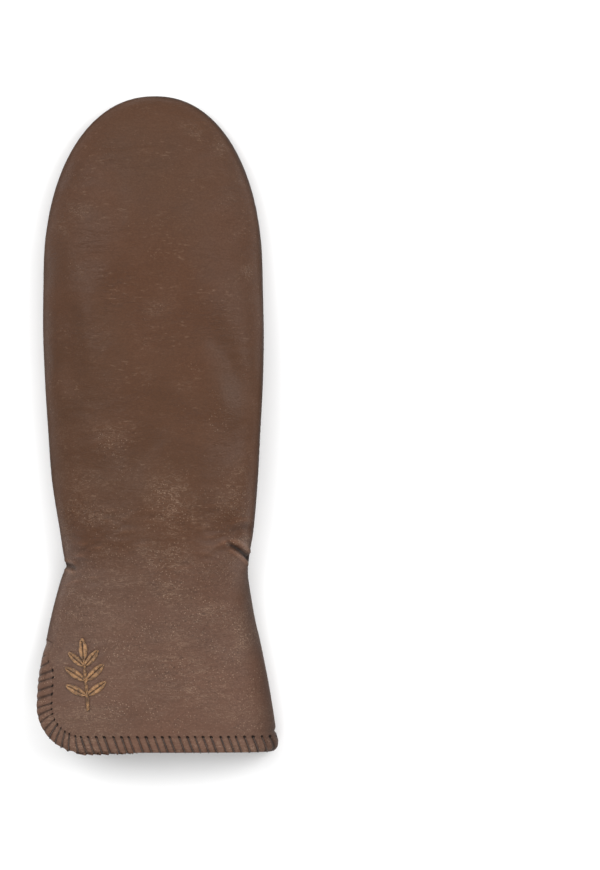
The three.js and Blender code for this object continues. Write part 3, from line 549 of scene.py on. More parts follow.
class Stations:
    """The rows of a grid, each from the middle line out to the fold, and each a row of one here.

    They go from the slit side of the cuff round the tip to the thumb side.
    """

    def __init__(self, fine=1.0, fans=110):
        rows = side_rows(fine)
        none = np.zeros(len(rows))
        angles = np.linspace(0, np.pi, fans + 2)[1:-1]
        self.side = np.r_[none - 1, np.where(angles <= np.pi / 2, -1.0, 1.0), none + 1][:, None]
        self.y = np.r_[rows, np.full(fans, ROUND_Y), rows[::-1]][:, None]
        self.fan = np.r_[none, np.minimum(angles, np.pi - angles), none][:, None]
        left = (self.side < 0) & (self.fan == 0)
        self.flap = left & (self.y <= SLIT_LENGTH)
        self.sewn = np.where(left, smooth((self.y - SLIT_LENGTH) / 5), 1.0)
        self.fold = self.outline()
        self.along = travelled(self.fold[:, 0])[:, None]
        reach = 0.9 * (TIP_LENGTH - (HAND_WIDTH / 2) ** 2 / TIP_LENGTH)
        self.spine = stacked(0.0, self.y + reach * np.sin(self.fan))

    def outline(self, inset=0.0):
        n = 2 / TIP_ROUNDNESS
        x = self.side * (half_width(self.side, self.y) - inset) * np.cos(self.fan) ** n
        y = self.y + (self.fan > 0) * (TIP_LENGTH - inset) * np.sin(self.fan) ** n
        return stacked(x, y)

    def within(self, inset):
        """The outline moved straight in, in plan."""
        along = unit(np.gradient(self.fold, axis=0))
        return self.fold + stacked(along[..., 1], -along[..., 0]) * inset[..., None]

    def edge(self, whole, setback, least=0.0):
        """An outline, with the cut edge in its place beside the slit."""
        back = np.maximum(least, setback * (1 - np.clip(self.y / SLIT_LENGTH, 0, 1)))
        cut = stacked(back - slit_edge(np.minimum(self.y, SLIT_LENGTH)), self.y)
        return np.where(self.flap[..., None], cut, whole)


def even_shares(squareness, high, count):
    """Shares of the width that are evenly spaced along a section's curve, up to the fold."""
    t = np.linspace(0, 1, 4000)
    share = np.r_[t * 0.98, 1 - 0.02 * (1 - t[1:]) ** 3]
    length = travelled(stacked(share * USUAL_HALF, high * bulge(share, squareness)))
    return np.interp(np.linspace(0, length[-1], count), length, share)


def side_seam_end(points, side):
    """The thumb side's corner of the cuff: rounded, with the seam's end below a small notch."""
    x, y = xy(points)
    share = smooth((x / RIGHT_END - 0.8) / 0.2) * (side > 0)
    rounded = 1.7 * np.clip(1 - y / 2.4, 0, 1) ** 2
    points = points.copy()
    points[..., 0] += share * (0.5 * hump(y, 2.0, 4.2) - 0.8 * hump(y, 0.8, 8.6) - rounded)
    return points


def shift_cuff(points, setback):
    """Sets the cuff's edge of a piece back from the longest one's."""
    points = points.copy()
    points[..., 1] += setback * (1 - np.clip(points[..., 1] / SLIT_LENGTH, 0, 1))
    return points


def mesh_object(name, verts, faces, material):
    """Makes an object from millimetre points with y from the cuff's edge."""
    verts = np.asarray(verts, float).reshape(-1, 3)
    placed = (verts + np.array([SHIFT_X, SHIFT_Y, 0.0])) * MM
    mesh = bpy.data.meshes.new(name)
    mesh.from_pydata(placed.tolist(), [], [list(map(int, f)) for f in faces])
    mesh.polygons.foreach_set("use_smooth", [True] * len(mesh.polygons))
    mesh.materials.append(material)
    obj = bpy.data.objects.new(name, mesh)
    bpy.context.scene.collection.objects.link(obj)
    return obj


def add_marks(obj, name, values):
    layer = obj.data.attributes.new(name, "FLOAT_VECTOR", "POINT")
    layer.data.foreach_set("vector", np.asarray(values, np.float32).ravel())


def merged(obj, distance=0.00002):
    bm = bmesh.new()
    bm.from_mesh(obj.data)
    bmesh.ops.remove_doubles(bm, verts=bm.verts, dist=distance)
    bmesh.ops.recalc_face_normals(bm, faces=bm.faces)
    bm.to_mesh(obj.data)
    bm.free()
    return obj


def grid_normals(grid, outward_z):
    """Normals of a grid of points, up or down as outward_z says."""
    n = unit(np.cross(np.gradient(grid, axis=0), np.gradient(grid, axis=1)))
    n *= np.sign(np.sum(n[..., 2] * outward_z))
    n[:, 0, 0] = 0.0
    return unit(n)


def quads_of(rows, cols):
    i, j = np.meshgrid(np.arange(rows - 1), np.arange(cols - 1), indexing="ij")
    a = (i * cols + j).ravel()
    return np.stack([a, a + cols, a + cols + 1, a + 1], -1)


def rim(a, b, m):
    """Faces that join an edge of the outer side to the inner side's, m points further on."""
    return np.stack([a, b, b + m, a + m], -1)


def shell(name, grid, material, outward_z, marks, stitches, keep=None):
    """Leather from a grid of outside points; its inner side is made only where it can be seen."""
    rows, cols, _ = grid.shape
    m = rows * cols
    inside = grid - grid_normals(grid, outward_z) * LEATHER
    inside[:, 0, 0] = 0.0
    quads = quads_of(rows, cols)
    middle = grid.reshape(-1, 3)[quads].mean(axis=1)
    inner = quads[middle[:, 1] < INSIDE_SHOWS][:, ::-1] + m
    if keep is not None:
        quads = quads[keep(middle[:, 0], middle[:, 1])]
    low = np.arange(cols - 1)
    high = low + (rows - 1) * cols
    edge = np.where(grid[:-1, -1, 1] < INSIDE_SHOWS)[0] * cols + cols - 1
    rims = rim(low, low + 1, m), rim(high + 1, high, m), rim(edge, edge + cols, m)
    faces = np.concatenate([quads, inner, *rims])
    used = np.zeros(2 * m, bool)
    used[faces.ravel()] = True
    verts = np.concatenate([grid, inside]).reshape(-1, 3)[used]
    obj = mesh_object(name, verts, (np.cumsum(used) - 1)[faces], material)
    for layer, values in (("marks", marks), ("stitches", stitches)):
        add_marks(obj, layer, np.concatenate([values] * 2).reshape(-1, 3)[used])
    return merged(obj)


def worn_and_glinting(x, y):
    """1 where the back is most abraded and has the most painted glints, fading unevenly round it."""
    x, y = x + SHIFT_X, y + SHIFT_Y
    x = x + 2.2 * waves(x, y, 12, 71)
    y = y + 1.6 * waves(x, y, 10, 72)
    most = np.zeros(np.shape(x))
    for px, py, rx, ry, amount in WORN_AND_GLINTING_PLACES:
        most = np.maximum(most, amount * hump(x, rx, px) * hump(y, ry, py))
    return most


def back_piece(material):
    s = Stations()
    side, over, t = s.side, even_shares(BACK_SQUARENESS, USUAL_RISE, 104), np.linspace(0, 1, 15)[1:]
    edge = s.edge(s.fold, 0.0)
    # beside the slit the last columns lie on the flap, and elsewhere they go under the fold
    plan_over = mix(s.spine, edge, (over * np.where(s.flap, FLAP_SHARE, 1.0))[..., None])
    under_fold = s.within((SEAM_INSET - CLEARANCE) * t**2.6 * s.sewn)
    on_flap = mix(s.spine, edge, mix(FLAP_SHARE, 1, t)[:, None])
    plan_under = np.where(s.flap[..., None], on_flap, under_fold)
    z_low = mix(back_z(side, *xy(edge)), palm_z(side, *xy(plan_under), folded=False), s.sewn)
    z_under = np.where(s.flap, back_z(side, *xy(plan_under)), z_low)
    x, y = xy(np.concatenate([plan_over, plan_under], 1))
    grid = stacked(x, y, np.concatenate([back_z(side, *xy(plan_over)), z_under], 1))
    out, crease_shade = back_relief(side, x, y)
    # under the fold: a soft puff, then the sewn edge turned in
    below = np.r_[0 * over, t] * s.sewn
    puff = 0.35 * np.sin(np.pi * below) + 0.12 * seam_stitches(s.along) * below
    out = np.where(below > 0, puff - 0.75 * smooth((below - 0.78) / 0.22), out)
    grid = side_seam_end(grid + grid_normals(grid, 1.0) * out[..., None], side)
    # painted shade: the colour darkens towards the fold, darkest right at the turn, and over a wider band on
    # the cuff's thumb side, where that side lies in shade
    turned = mix(0.9, 0.15, smooth(t * 1.6)) + 0.5 * smooth((t - 0.85) / 0.15)
    shaded = (side > 0) * smooth((WRIST_Y + 8 - s.y) / 25)
    fold_shade = np.concatenate([mix(over**30, over**7, shaded), turned + 0 * shaded], 1)
    fold_shade = fold_shade * np.where(s.flap, 0.3, np.where(side < 0, 0.75, 1))
    # the marks carry painted shade near the fold, in the creases' valleys and on the edge turned in under
    # the fold, and painted highlight on the creases' ridges
    marks = stacked(fold_shade, crease_shade, below)
    return shell("back_leather", grid, material, 1.0, marks, stitch_marks(x, y, 0.0, worn_and_glinting(x, y)))


def palm_piece(material):
    s = Stations()
    edge = s.edge(s.within(mix(4 * CLEARANCE, SEAM_INSET - 0.1, s.sewn)), PALM_SETBACK)
    share = np.linspace(0, 1, 118)
    share = mix(share, 1 - (1 - share) ** 1.6, 0.3)
    plan = shift_cuff(mix(s.spine, edge, share[:, None]), PALM_SETBACK)
    x, y = xy(plan)
    grid = stacked(x, y, palm_z(s.side, x, y))
    out, crease_shade = palm_relief(s.side, x, y)
    from_seam = np.linalg.norm(plan - edge, axis=-1)
    pull = 0.14 * seam_stitches(s.along) * hump(from_seam, 1.8)
    out = out + s.sewn * (pull - 0.7 * (1 - smooth(from_seam / 1.3)))
    grid = side_seam_end(grid + grid_normals(grid, -1.0) * out[..., None], s.side)
    # painted shade: the marks darken along the seam, in the valleys and along the gathered wrist line, and
    # lighten the ridges as painted highlight
    gathered = hump(y, 1.2, WRIST_Y) * wrist_rise(y) / WRIST_RISE
    marks = stacked(0.6 * s.sewn * hump(from_seam, 0.9), crease_shade, gathered)
    solid = lambda x, y: thumb_hole_distance(x, y) > 1
    return shell("palm_leather", grid, material, -1.0, marks, stitch_marks(x, y, PALM_SETBACK), solid)


def lining_piece(material):
    """The knitted lining: two walls that meet at the folds and part at the slit."""
    s = Stations(fine=1.6, fans=50)
    walls = []
    for upper, section in ((True, (BACK_SQUARENESS, USUAL_RISE)), (False, (PALM_SQUARENESS, EDGE_HEIGHT))):
        share = even_shares(*section, 44)
        for depth in (LINING_DEPTH, LINING_DEPTH + KNIT):
            edge = s.edge(s.outline(depth), LINING_RECESS, LINING_DEPTH + LINING_RECESS)
            plan = mix(s.spine, edge, share[:, None])
            x, y = xy(plan)
            wide = half_width(s.side, y)
            x = x * wide / (wide - np.where(s.flap, 0, depth))
            y = np.where(y > ROUND_Y, ROUND_Y + (y - ROUND_Y) * TIP_LENGTH / (TIP_LENGTH - depth), y)
            part = (back_share if upper else palm_share)(s.side, x, y)
            inset = depth * np.where(s.flap, 1, part)
            if upper:
                z = back_z(s.side, x, y) - inset - 0.9 * part
            else:
                z = palm_z(s.side, x, y, folded=False) + inset + 0.8 * part * smooth(palm_lift(x, y) / 3)
            z = z + 0.14 * waves(x, y, 5, 40 + upper)
            walls.append(shift_cuff(stacked(*xy(plan), z), LINING_RECESS))
    rows, cols = walls[0].shape[:2]
    m = rows * cols
    low = np.arange(cols - 1)
    high = low + (rows - 1) * cols
    cut = np.where(s.flap[:-1, 0])[0] * cols + cols - 1
    quads = quads_of(rows, cols)
    faces = []
    for a in (0, 2 * m):
        faces += [quads + a, quads[:, ::-1] + a + m]
        faces += [rim(p + a, q + a, m) for p, q in ((low, low + 1), (high, high + 1), (cut, cut + cols))]
    verts, faces = np.concatenate(walls).reshape(-1, 3), np.concatenate(faces)
    middle = verts[faces].mean(axis=1)
    lower = faces[:, 0] >= 2 * m
    faces = faces[~(lower & (thumb_hole_distance(middle[:, 0], middle[:, 1]) < 1.0))]
    pouch = thumb_rings(LINING_DEPTH, rows=60, sides=60)
    faces = np.concatenate([faces, open_tube(pouch) + len(verts)])
    verts = np.concatenate([verts, pouch.reshape(-1, 3)])
    return merged(mesh_object("lining_knit", verts, faces, material))


def thumb_rings(depth, rows=150, sides=150):
    """Sections of the thumb, a flat pouch along its bent middle line, for a skin at a depth."""
    base, tip = THUMB_BASE_ROUND, THUMB_LENGTH - THUMB_TIP_ROUND
    turn = np.linspace(0.03, np.pi / 2, 24)
    middle, back = np.linspace(base, tip, rows)[1:-1], turn[::-1]
    start = base - (THUMB_BASE_ROUND - depth) * np.cos(turn)
    along = np.r_[start, middle, tip + (THUMB_TIP_ROUND - depth) * np.cos(back)]
    half = thumb_half(np.r_[base + 0 * turn, middle, tip + 0 * back]) - depth
    ends = np.r_[np.sin(turn), np.ones(len(middle)), np.sin(back)]
    at, ahead = thumb_place(along)
    angle = angles_round(sides)
    c, s = np.cos(angle), np.sin(angle)
    out = np.sign(c) * np.abs(c) ** (2 / THUMB_SQUARENESS)
    up = np.sign(s) * np.minimum(1, np.abs(s) ** (2 / THUMB_SQUARENESS) / FLATTENED_SHARE)
    wide = (half * ends)[:, None] * out
    x = at[:, 0, None] + ahead[:, 1, None] * wide
    y = at[:, 1, None] - ahead[:, 0, None] * wide
    return stacked(x, y, THUMB_DEPTH / 2 + up * np.sqrt(ends)[:, None] * (THUMB_DEPTH / 2 - depth))


def tube_faces(rows, sides):
    i, k = np.meshgrid(np.arange(rows - 1), np.arange(sides), indexing="ij")
    a, b = (i * sides + k).ravel(), (i * sides + (k + 1) % sides).ravel()
    return np.stack([a, b, b + sides, a + sides], -1)


def open_tube(rings):
    """Faces of the thumb's tube, without those over the hole to the palm."""
    faces = tube_faces(*rings.shape[:2])
    middle = rings.reshape(-1, 3)[faces].mean(axis=1)
    return faces[(middle[:, 2] < THUMB_DEPTH / 2) | (thumb_hole_distance(middle[:, 0], middle[:, 1]) > 1)]


def thumb_piece(material):
    rings = thumb_rings(0.0)
    rows, sides = rings.shape[:2]
    x, y, z = np.moveaxis(rings, -1, 0)
    closed = np.concatenate([rings[:, -1:], rings, rings[:, :1]], 1)
    n = unit(np.cross(np.gradient(closed, axis=0), np.gradient(closed, axis=1))[:, 1:-1])
    if np.sum(n[..., 2] * (z - THUMB_DEPTH / 2)) < 0:
        n = -n
    low = smooth((THUMB_DEPTH * 0.45 - z) / 4)
    fine, big = crease_drop(x, y, FINE_THUMB), crease_drop(x, y, THUMB_CREASES)
    # the seams on the inner side and on the outer one, where the leather is rolled
    angle = angles_round(sides)[None]
    outer = (2 * np.pi - SEAM_TURN - angle) * 8
    beside = np.minimum(np.abs(angle - np.pi - 0.12) * 6, np.abs(outer))
    along = travelled(thumb_place(np.linspace(0, THUMB_LENGTH, rows))[0])[:, None]
    seam = 0.6 * hump(beside, 0.45) + 0.1 * seam_stitches(along) * hump(beside, 1.6)
    seam = seam - 0.35 * hump(outer, 0.8, -1.3)
    rings = rings + n * (0.15 * waves(x, y, 24, 51) * low - (fine + big) * low - seam)[..., None]
    caps = [range(sides), range((rows - 1) * sides, rows * sides)]
    obj = mesh_object("thumb_leather", rings, [*open_tube(rings), *caps], material)
    # painted shade along the seams and in the creases' valleys, and painted highlight on the creases' ridges
    add_marks(obj, "marks", stacked(hump(beside, 0.5), 0.35 * big + fine, 0.0))
    add_marks(obj, "stitches", np.tile([0.0, FAR, EVEN_WEAR_AND_GLINT], (rows * sides, 1)))
    return merged(obj)


class Skin:
    """Finds the made leather's surface, from above or from below."""

    def __init__(self, obj, down):
        bm = bmesh.new()
        bm.from_mesh(obj.data)
        self.tree = BVHTree.FromBMesh(bm)
        bm.free()
        self.sign, self.start = (1.0, ABOVE_ALL) if down else (-1.0, BELOW_ALL)

    def at(self, x, y):
        start = Vector(((x + SHIFT_X) * MM, (y + SHIFT_Y) * MM, self.start))
        place, normal, _, _ = self.tree.ray_cast(start, Vector((0, 0, -self.sign)))
        if place is None:
            return None, None
        normal = normal if normal.z * self.sign > 0 else -normal
        return np.array([place.x / MM - SHIFT_X, place.y / MM - SHIFT_Y, place.z / MM]), np.array(normal)


class Threads:
    """Many short tubes gathered in one mesh."""

    def __init__(self, sides=6):
        self.sides, self.verts, self.faces, self.count = sides, [], [], 0

    def add(self, path, radius):
        path = np.asarray(path, float)
        n, sides = len(path), self.sides
        ahead = unit(np.gradient(path, axis=0))
        first = np.cross(ahead[0], [0.0, 0.0, 1.0])
        if np.linalg.norm(first) < 0.15:
            first = np.cross(ahead[0], [1.0, 0.3, 0.0])
        across = [unit(first)]
        for k in range(1, n):
            across.append(unit(across[-1] - ahead[k] * np.dot(across[-1], ahead[k])))
        across = np.array(across)
        lift = np.cross(across, ahead)
        angle = angles_round(sides)[:, None]
        ring = across[:, None] * np.cos(angle) + lift[:, None] * np.sin(angle)
        r = np.full((n, 1, 1), float(radius))
        r[[0, -1]] *= 0.6
        self.verts.append((path[:, None] + ring * r).reshape(-1, 3))
        ends = np.array([range(sides)[::-1], range((n - 1) * sides, n * sides)])
        self.faces += [*(tube_faces(n, sides) + self.count), *(ends + self.count)]
        self.count += n * sides

    def make(self, name, material):
        return mesh_object(name, np.concatenate(self.verts), self.faces, material)


def edge_curve():
    """The cuff's cut edge from the thumb side's fold along the bottom and up the slit."""
    right = RIGHT_END - 0.8
    turns = np.linspace(0, np.pi / 2, 120)
    up = np.r_[CORNER_RADIUS * (1 - np.cos(turns)), np.arange(CORNER_RADIUS + 0.1, SLIT_LENGTH, 0.25)]
    path = np.concatenate([stacked(np.arange(right, CORNER_X, -0.25), 0.0), stacked(-slit_edge(up), up)])
    return path, travelled(path) - right, unit(np.gradient(path, axis=0))


def whip_stitches(name, skin, upper, material):
    """Threads from the holes slantwise down over the cut edge to the lining."""
    setback = 0.0 if upper else PALM_SETBACK
    path, steps, ahead = edge_curve()
    warped, threads = uneven(steps), Threads()
    wall = LEATHER + CLEARANCE + KNIT

    def edge_at(a):
        p, d = on_line(a, steps, path), unit(on_line(a, steps, ahead))
        back = setback * (1 - np.clip(p[1] / SLIT_LENGTH, 0, 1))
        return p + back * np.array([float(p[0] < -35), 1.0]), np.array([d[1], -d[0]])

    for k in range(math.ceil(warped[0] / STITCH_PITCH), math.floor(warped[-1] / STITCH_PITCH) + 1):
        foot = np.interp(k * STITCH_PITCH, warped, steps)
        if edge_at(foot)[0][1] > STITCH_END:
            break
        points, jitter = [], rng.normal(0, 0.12)
        for t in np.linspace(0, 1, 12):
            p, inward = edge_at(foot - (STITCH_SLANT + jitter) * t)
            place, normal = skin.at(*(p + inward * mix(stitch_inset(p[1]) - 0.1, 0.25, t)))
            if place is None:
                break
            points.append(place + normal * (-0.45 if t == 0 else 0.08))
        else:
            # round the edge and back along the lining, square to the wall there
            p, inward = edge_at(foot - STITCH_SLANT)
            _, up = skin.at(*(p + inward * 2.5))
            out = np.array([-inward[0], -inward[1], 0.0])
            out = unit(out - up * np.dot(out, up))
            last = points[-1]
            for turn in np.linspace(0.15, 1, 6) * np.pi:
                drop = (wall + 0.2) * (1 - math.cos(turn)) / 2
                points.append(last + out * THREAD * math.sin(turn) - up * drop)
            for back in (1.5, 3.5, 5.0):
                points.append(points[-1] - out * back / 2 + up * 0.12)
            threads.add(points, THREAD / 2)
    return threads.make(name, material)


def sprig_stitches(skin, material):
    """Satin stitches laid side by side over padded leaves, and a twisted stem."""
    threads = Threads()
    c, s = SPRIG_ACROSS

    def put(path, radius):
        points = []
        for u, v, high in path:
            place, normal = skin.at(SPRIG_AT[0] + u * c - v * s, SPRIG_AT[1] + u * s + v * c)
            points.append(place + normal * high)
        threads.add(points, radius)

    for k in range(int(SPRIG_STEM / STEM_PITCH)):
        put([(u, STEM_PITCH * k + v, high) for u, v, high in STEM_STITCH], 0.24)
    for (fx, fy), (ux, uy), reach, width in sprig_leaves():
        count = round(reach / SATIN_PITCH)
        for t in 0.02 + 0.92 * np.arange(count + 1) / count:
            for half in (-1, 1):
                path = []
                for w, high in zip(np.linspace(0, 1, len(SATIN_HEIGHTS)), SATIN_HEIGHTS):
                    along = min(t * reach + (1 - 0.75 * t) * 0.5 * width * w, reach)
                    bow = max(leaf_half(along / reach, width), 0.12) + rng.normal(0, 0.03)
                    u, v = half * (0.1 + bow * w), along
                    path.append((fx + ux * v + uy * u, fy + uy * v - ux * u, high * min(1, bow / 0.7)))
                put(path, 0.235 + rng.normal(0, 0.012))
    return threads.make("sprig_stitches", material)


def gather_stitches(skin, material):
    """Short zigzag stitches that hold the folds of the palm together at the wrist."""
    threads, rise, count = Threads(), 1.2, 7
    wide = half_width(np.array([-1.0, 1.0]), WRIST_Y) - SEAM_INSET
    pitch = 1 / (SIDE_FOLDS + 1 / 3)
    for k in range(-SIDE_FOLDS, SIDE_FOLDS):
        middle = (k + 0.5) * pitch
        for j in range(5):
            end = -0.32 if j % 2 else 0.32
            points = []
            for t in np.linspace(0, 1, count):
                x = (middle + mix(end, -end, t) * pitch) * wide[1 if middle > 0 else 0]
                place, normal = skin.at(x, WRIST_Y + rise * (j - 2 + t))
                if place is not None:
                    points.append(place + normal * 0.1)
            if len(points) == count:
                threads.add(points, 0.2)
    return threads.make("gather_stitches", material)


def srgb(r, g, b):
    """Linear colour for a colour as it is seen, 0 to 255."""
    return (*[((v / 255 + 0.055) / 1.055) ** 2.4 for v in (r, g, b)], 1.0)


class Nodes:
    """Builds a material's nodes; sizes are in metres."""

    def __init__(self, name):
        self.material = bpy.data.materials.new(name)
        self.material.use_nodes = True
        self.tree = self.material.node_tree
        self.shader = self.tree.nodes["Principled BSDF"]
        self.coords = self.tree.nodes.new("ShaderNodeTexCoord").outputs["Object"]

    def plug(self, value, socket):
        if isinstance(value, bpy.types.NodeSocket):
            self.tree.links.new(value, socket)
        else:
            socket.default_value = value

    def fill(self, node, inputs):
        for name, value in inputs.items():
            self.plug(value, node.inputs[name.replace("_", " ")])
        return node

    def node(self, kind, **inputs):
        return self.fill(self.tree.nodes.new("ShaderNode" + kind), inputs)

    def finished(self, **inputs):
        """The material, once the shader's own inputs are set."""
        self.fill(self.shader, inputs)
        return self.material

    def scaled(self, size, stretch=(1, 1, 1), turn=0.0):
        scale = [v / size for v in stretch]
        return self.node("Mapping", Scale=scale, Rotation=(0, 0, turn), Vector=self.coords).outputs["Vector"]

    def noise(self, size, detail=3.0, stretch=(1, 1, 1), rough=0.5, warp=0.0, turn=0.0):
        made = self.node("TexNoise", Scale=1.0, Detail=detail, Roughness=rough, Distortion=warp)
        self.plug(self.scaled(size, stretch, turn), made.inputs["Vector"])
        return made.outputs["Fac"]

    def cells(self, size, stretch=(1, 1, 1)):
        return self.node("TexVoronoi", Vector=self.scaled(size, stretch), Scale=1.0).outputs["Distance"]

    def ramp(self, value, low, high, out_low=0.0, out_high=1.0):
        made = self.node("MapRange", From_Min=low, From_Max=high, To_Min=out_low, To_Max=out_high)
        made.interpolation_type = "SMOOTHSTEP"
        self.plug(value, made.inputs["Value"])
        return made.outputs["Result"]

    def maths(self, operation, a, b=0.0):
        made = self.node("Math")
        made.operation = operation
        self.plug(a, made.inputs[0])
        self.plug(b, made.inputs[1])
        return made.outputs["Value"]

    def plus(self, a, b):
        return self.maths("ADD", a, b)

    def minus(self, a, b):
        return self.maths("SUBTRACT", a, b)

    def times(self, a, b):
        return self.maths("MULTIPLY", a, b)

    def apart(self, a, b):
        return self.maths("ABSOLUTE", self.minus(a, b))

    def blend(self, factor, a, b, kind="MIX"):
        made = self.node("Mix")
        made.data_type = "RGBA"
        made.blend_type = kind
        for socket, value in zip([i for i in made.inputs if i.enabled], (factor, a, b)):
            self.plug(value, socket)
        return [o for o in made.outputs if o.enabled][0]

    def toned(self, colour, *steps):
        """Where each factor is 1, the colour becomes another one or is multiplied by a number."""
        for factor, by in steps:
            if isinstance(by, tuple):
                colour = self.blend(factor, colour, srgb(*by))
            else:
                colour = self.blend(factor, colour, (by, by, by, 1.0), "MULTIPLY")
        return colour

    def bump(self, height, strength, distance, **before):
        made = self.node("Bump", Height=height, Strength=strength, Distance=distance, **before)
        return made.outputs["Normal"]

    def split(self, vector):
        return self.node("SeparateXYZ", Vector=vector).outputs

    def mark(self, name):
        made = self.node("Attribute")
        made.attribute_name = name
        return self.split(made.outputs["Vector"])


def leather(name, hand, cuff, gloss=0.0):
    """Brown nappa with fine grain, short bright wrinkles in patches, and pressed stitch holes."""
    n = Nodes(name)
    fold, crease_shade, tucked_shade = n.mark("marks")
    slanted, inward, wear_and_glint = n.mark("stitches")
    y = n.split(n.coords)["Y"]
    patch, hue = n.noise(0.024, 3, (1, 1.2, 1), 0.55, 0.5), n.noise(0.042, 2)
    # painted reflection: the cuff is made lighter and greyer than the hand, for the haze of light that its
    # more matte grain reflects
    on_cuff = n.ramp(n.plus(y, n.times(patch, 0.05)), -0.055, -0.015, 1.0, 0.0)
    colour = n.blend(on_cuff, srgb(*hand), srgb(*cuff))
    colour = n.blend(n.ramp(hue, 0.3, 0.7), colour, n.blend(1.0, colour, (1.04, 0.98, 0.95, 1), "MULTIPLY"))
    # short wrinkles that catch the light, in patches and more on the cuff: painted highlights on the wrinkle
    # lines and pale patches, and painted shade in the fine lines across
    low_down = n.ramp(y, 0.02, -0.07, 0.0, 0.16)
    spread = n.plus(n.times(n.noise(0.021, 4, (1, 1.4, 1), 0.62, 0.35), 0.8), n.times(wear_and_glint, 0.22))
    pale = n.ramp(n.plus(spread, low_down), 0.42, 0.85)
    ridge = n.apart(n.noise(0.0034, 4, (0.5, 1.5, 1), 0.6, 1.4), 0.5)
    glint_lines = n.times(n.ramp(ridge, 0.035, 0.0), pale)
    across = n.apart(n.noise(0.0042, 3, (0.28, 2.0, 1), 0.5, 0.6, 0.12), 0.5)
    rays = n.times(n.ramp(across, 0.03, 0.0), n.ramp(n.noise(0.03, 2), 0.45, 0.65, 0.1, 0.9))
    # specks and pits where it is rubbed, the grain and its flecks: the bright specks are painted glints
    loose = n.plus(n.times(n.noise(0.011, 3), 0.7), n.times(wear_and_glint, 0.2))
    rubbed_and_glinting = n.ramp(n.plus(loose, low_down), 0.36, 0.66)
    larger, smaller = n.cells(0.0012), n.cells(0.0009, (1.1, 0.9, 1.3))
    dots = n.maths("MAXIMUM", n.ramp(larger, 0.26, 0.1), n.ramp(smaller, 0.18, 0.05))
    pits = n.times(n.ramp(n.noise(0.0011, 2, (1, 1.3, 1)), 0.42, 0.3), rubbed_and_glinting)
    grain = n.cells(0.0008, (0.8, 1.2, 1))
    fleck = n.ramp(n.noise(0.0016, 3, (0.45, 1.4, 1), 0.65), 0.56, 0.75)
    fleck = n.times(fleck, n.ramp(n.noise(0.017, 3), 0.42, 0.66, 0.2, 1.0))
    # stitch holes, the grooves below them and the puffs between: painted shade in the holes and grooves,
    # painted highlight on the puffs
    beside = n.times(n.minus(slanted, n.maths("ROUND", slanted)), STITCH_PITCH)
    from_line, over = n.maths("ABSOLUTE", beside), n.apart(inward, STITCH_INSET)
    from_hole = n.maths("SQRT", n.plus(n.times(beside, beside), n.times(over, over)))
    hole = n.ramp(from_hole, 0.72, 0.42)
    groove = n.times(n.ramp(from_line, 0.62, 0.2), n.ramp(inward, STITCH_INSET + 0.1, STITCH_INSET - 0.3))
    puff = n.times(n.ramp(from_line, 0.6, 1.3), n.ramp(inward, STITCH_INSET - 0.4, STITCH_INSET - 1.4))
    colour = n.toned(
        # random mottling, painted shade in the fine lines across, painted highlights on the pale patches and
        # wrinkle lines, painted glints on the specks
        colour, (n.ramp(patch, 0.65, 0.25), 0.9), (n.times(rays, 0.5), 0.76),
        (n.times(pale, 0.06), (150, 126, 107)), (n.times(glint_lines, 0.3), (176, 147, 124)),
        (n.times(n.times(dots, rubbed_and_glinting), 0.32), (190, 163, 139)), (n.times(pits, 0.85), 0.62),
        (n.ramp(grain, 0.2, 0.8, 0.0, 0.55), 0.78), (n.times(fleck, 0.2), (158, 130, 108)),
        # painted shade and highlight: creases, folds and seams are darkened in their valleys and lightened
        # on their ridges, as light falls on them
        (n.ramp(crease_shade, 0.03, 0.8), 0.6), (n.ramp(crease_shade, 0.65, 1.15), 0.5),
        (n.ramp(crease_shade, -0.02, -0.3), 1.42), (n.ramp(fold, 0.1, 1.0), 0.5),
        # painted shade under the back's fold and along the palm's gathered wrist line; painted highlight on
        # the stitch puffs, painted shade in the grooves and holes
        (n.ramp(tucked_shade, 0.5, 1.0), 0.7), (puff, 1.16), (groove, 0.45), (hole, (26, 17, 12)),
    )
    rough = n.plus(n.ramp(patch, 0.3, 0.7, 0.44 - gloss, 0.56 - gloss), n.ramp(grain, 0.1, 0.7, -0.03, 0.05))
    rough = n.plus(n.minus(rough, n.times(wear_and_glint, 0.08)), n.ramp(fold, 0.05, 0.5, 0.0, 0.3))
    normal = n.bump(n.noise(0.0052, 5, (0.5, 1.5, 1), 0.6, 0.9), 0.4, 0.0006)
    normal = n.bump(n.minus(glint_lines, n.times(rays, 0.6)), 0.5, 0.00022, Normal=normal)
    normal = n.bump(grain, 0.35, 0.00012, Normal=normal)
    normal = n.bump(n.noise(0.0005, 2), 0.25, 0.00006, Normal=normal)
    pressed = n.maths("MAXIMUM", hole, n.times(groove, 0.5))
    normal = n.bump(n.minus(1.0, pressed), 0.7, 0.0004, Normal=normal)
    return n.finished(
        Base_Color=colour, Roughness=n.plus(rough, n.times(hole, 0.3)), Normal=normal,
        Specular_IOR_Level=0.22 + gloss, Sheen_Weight=0.0,
    )


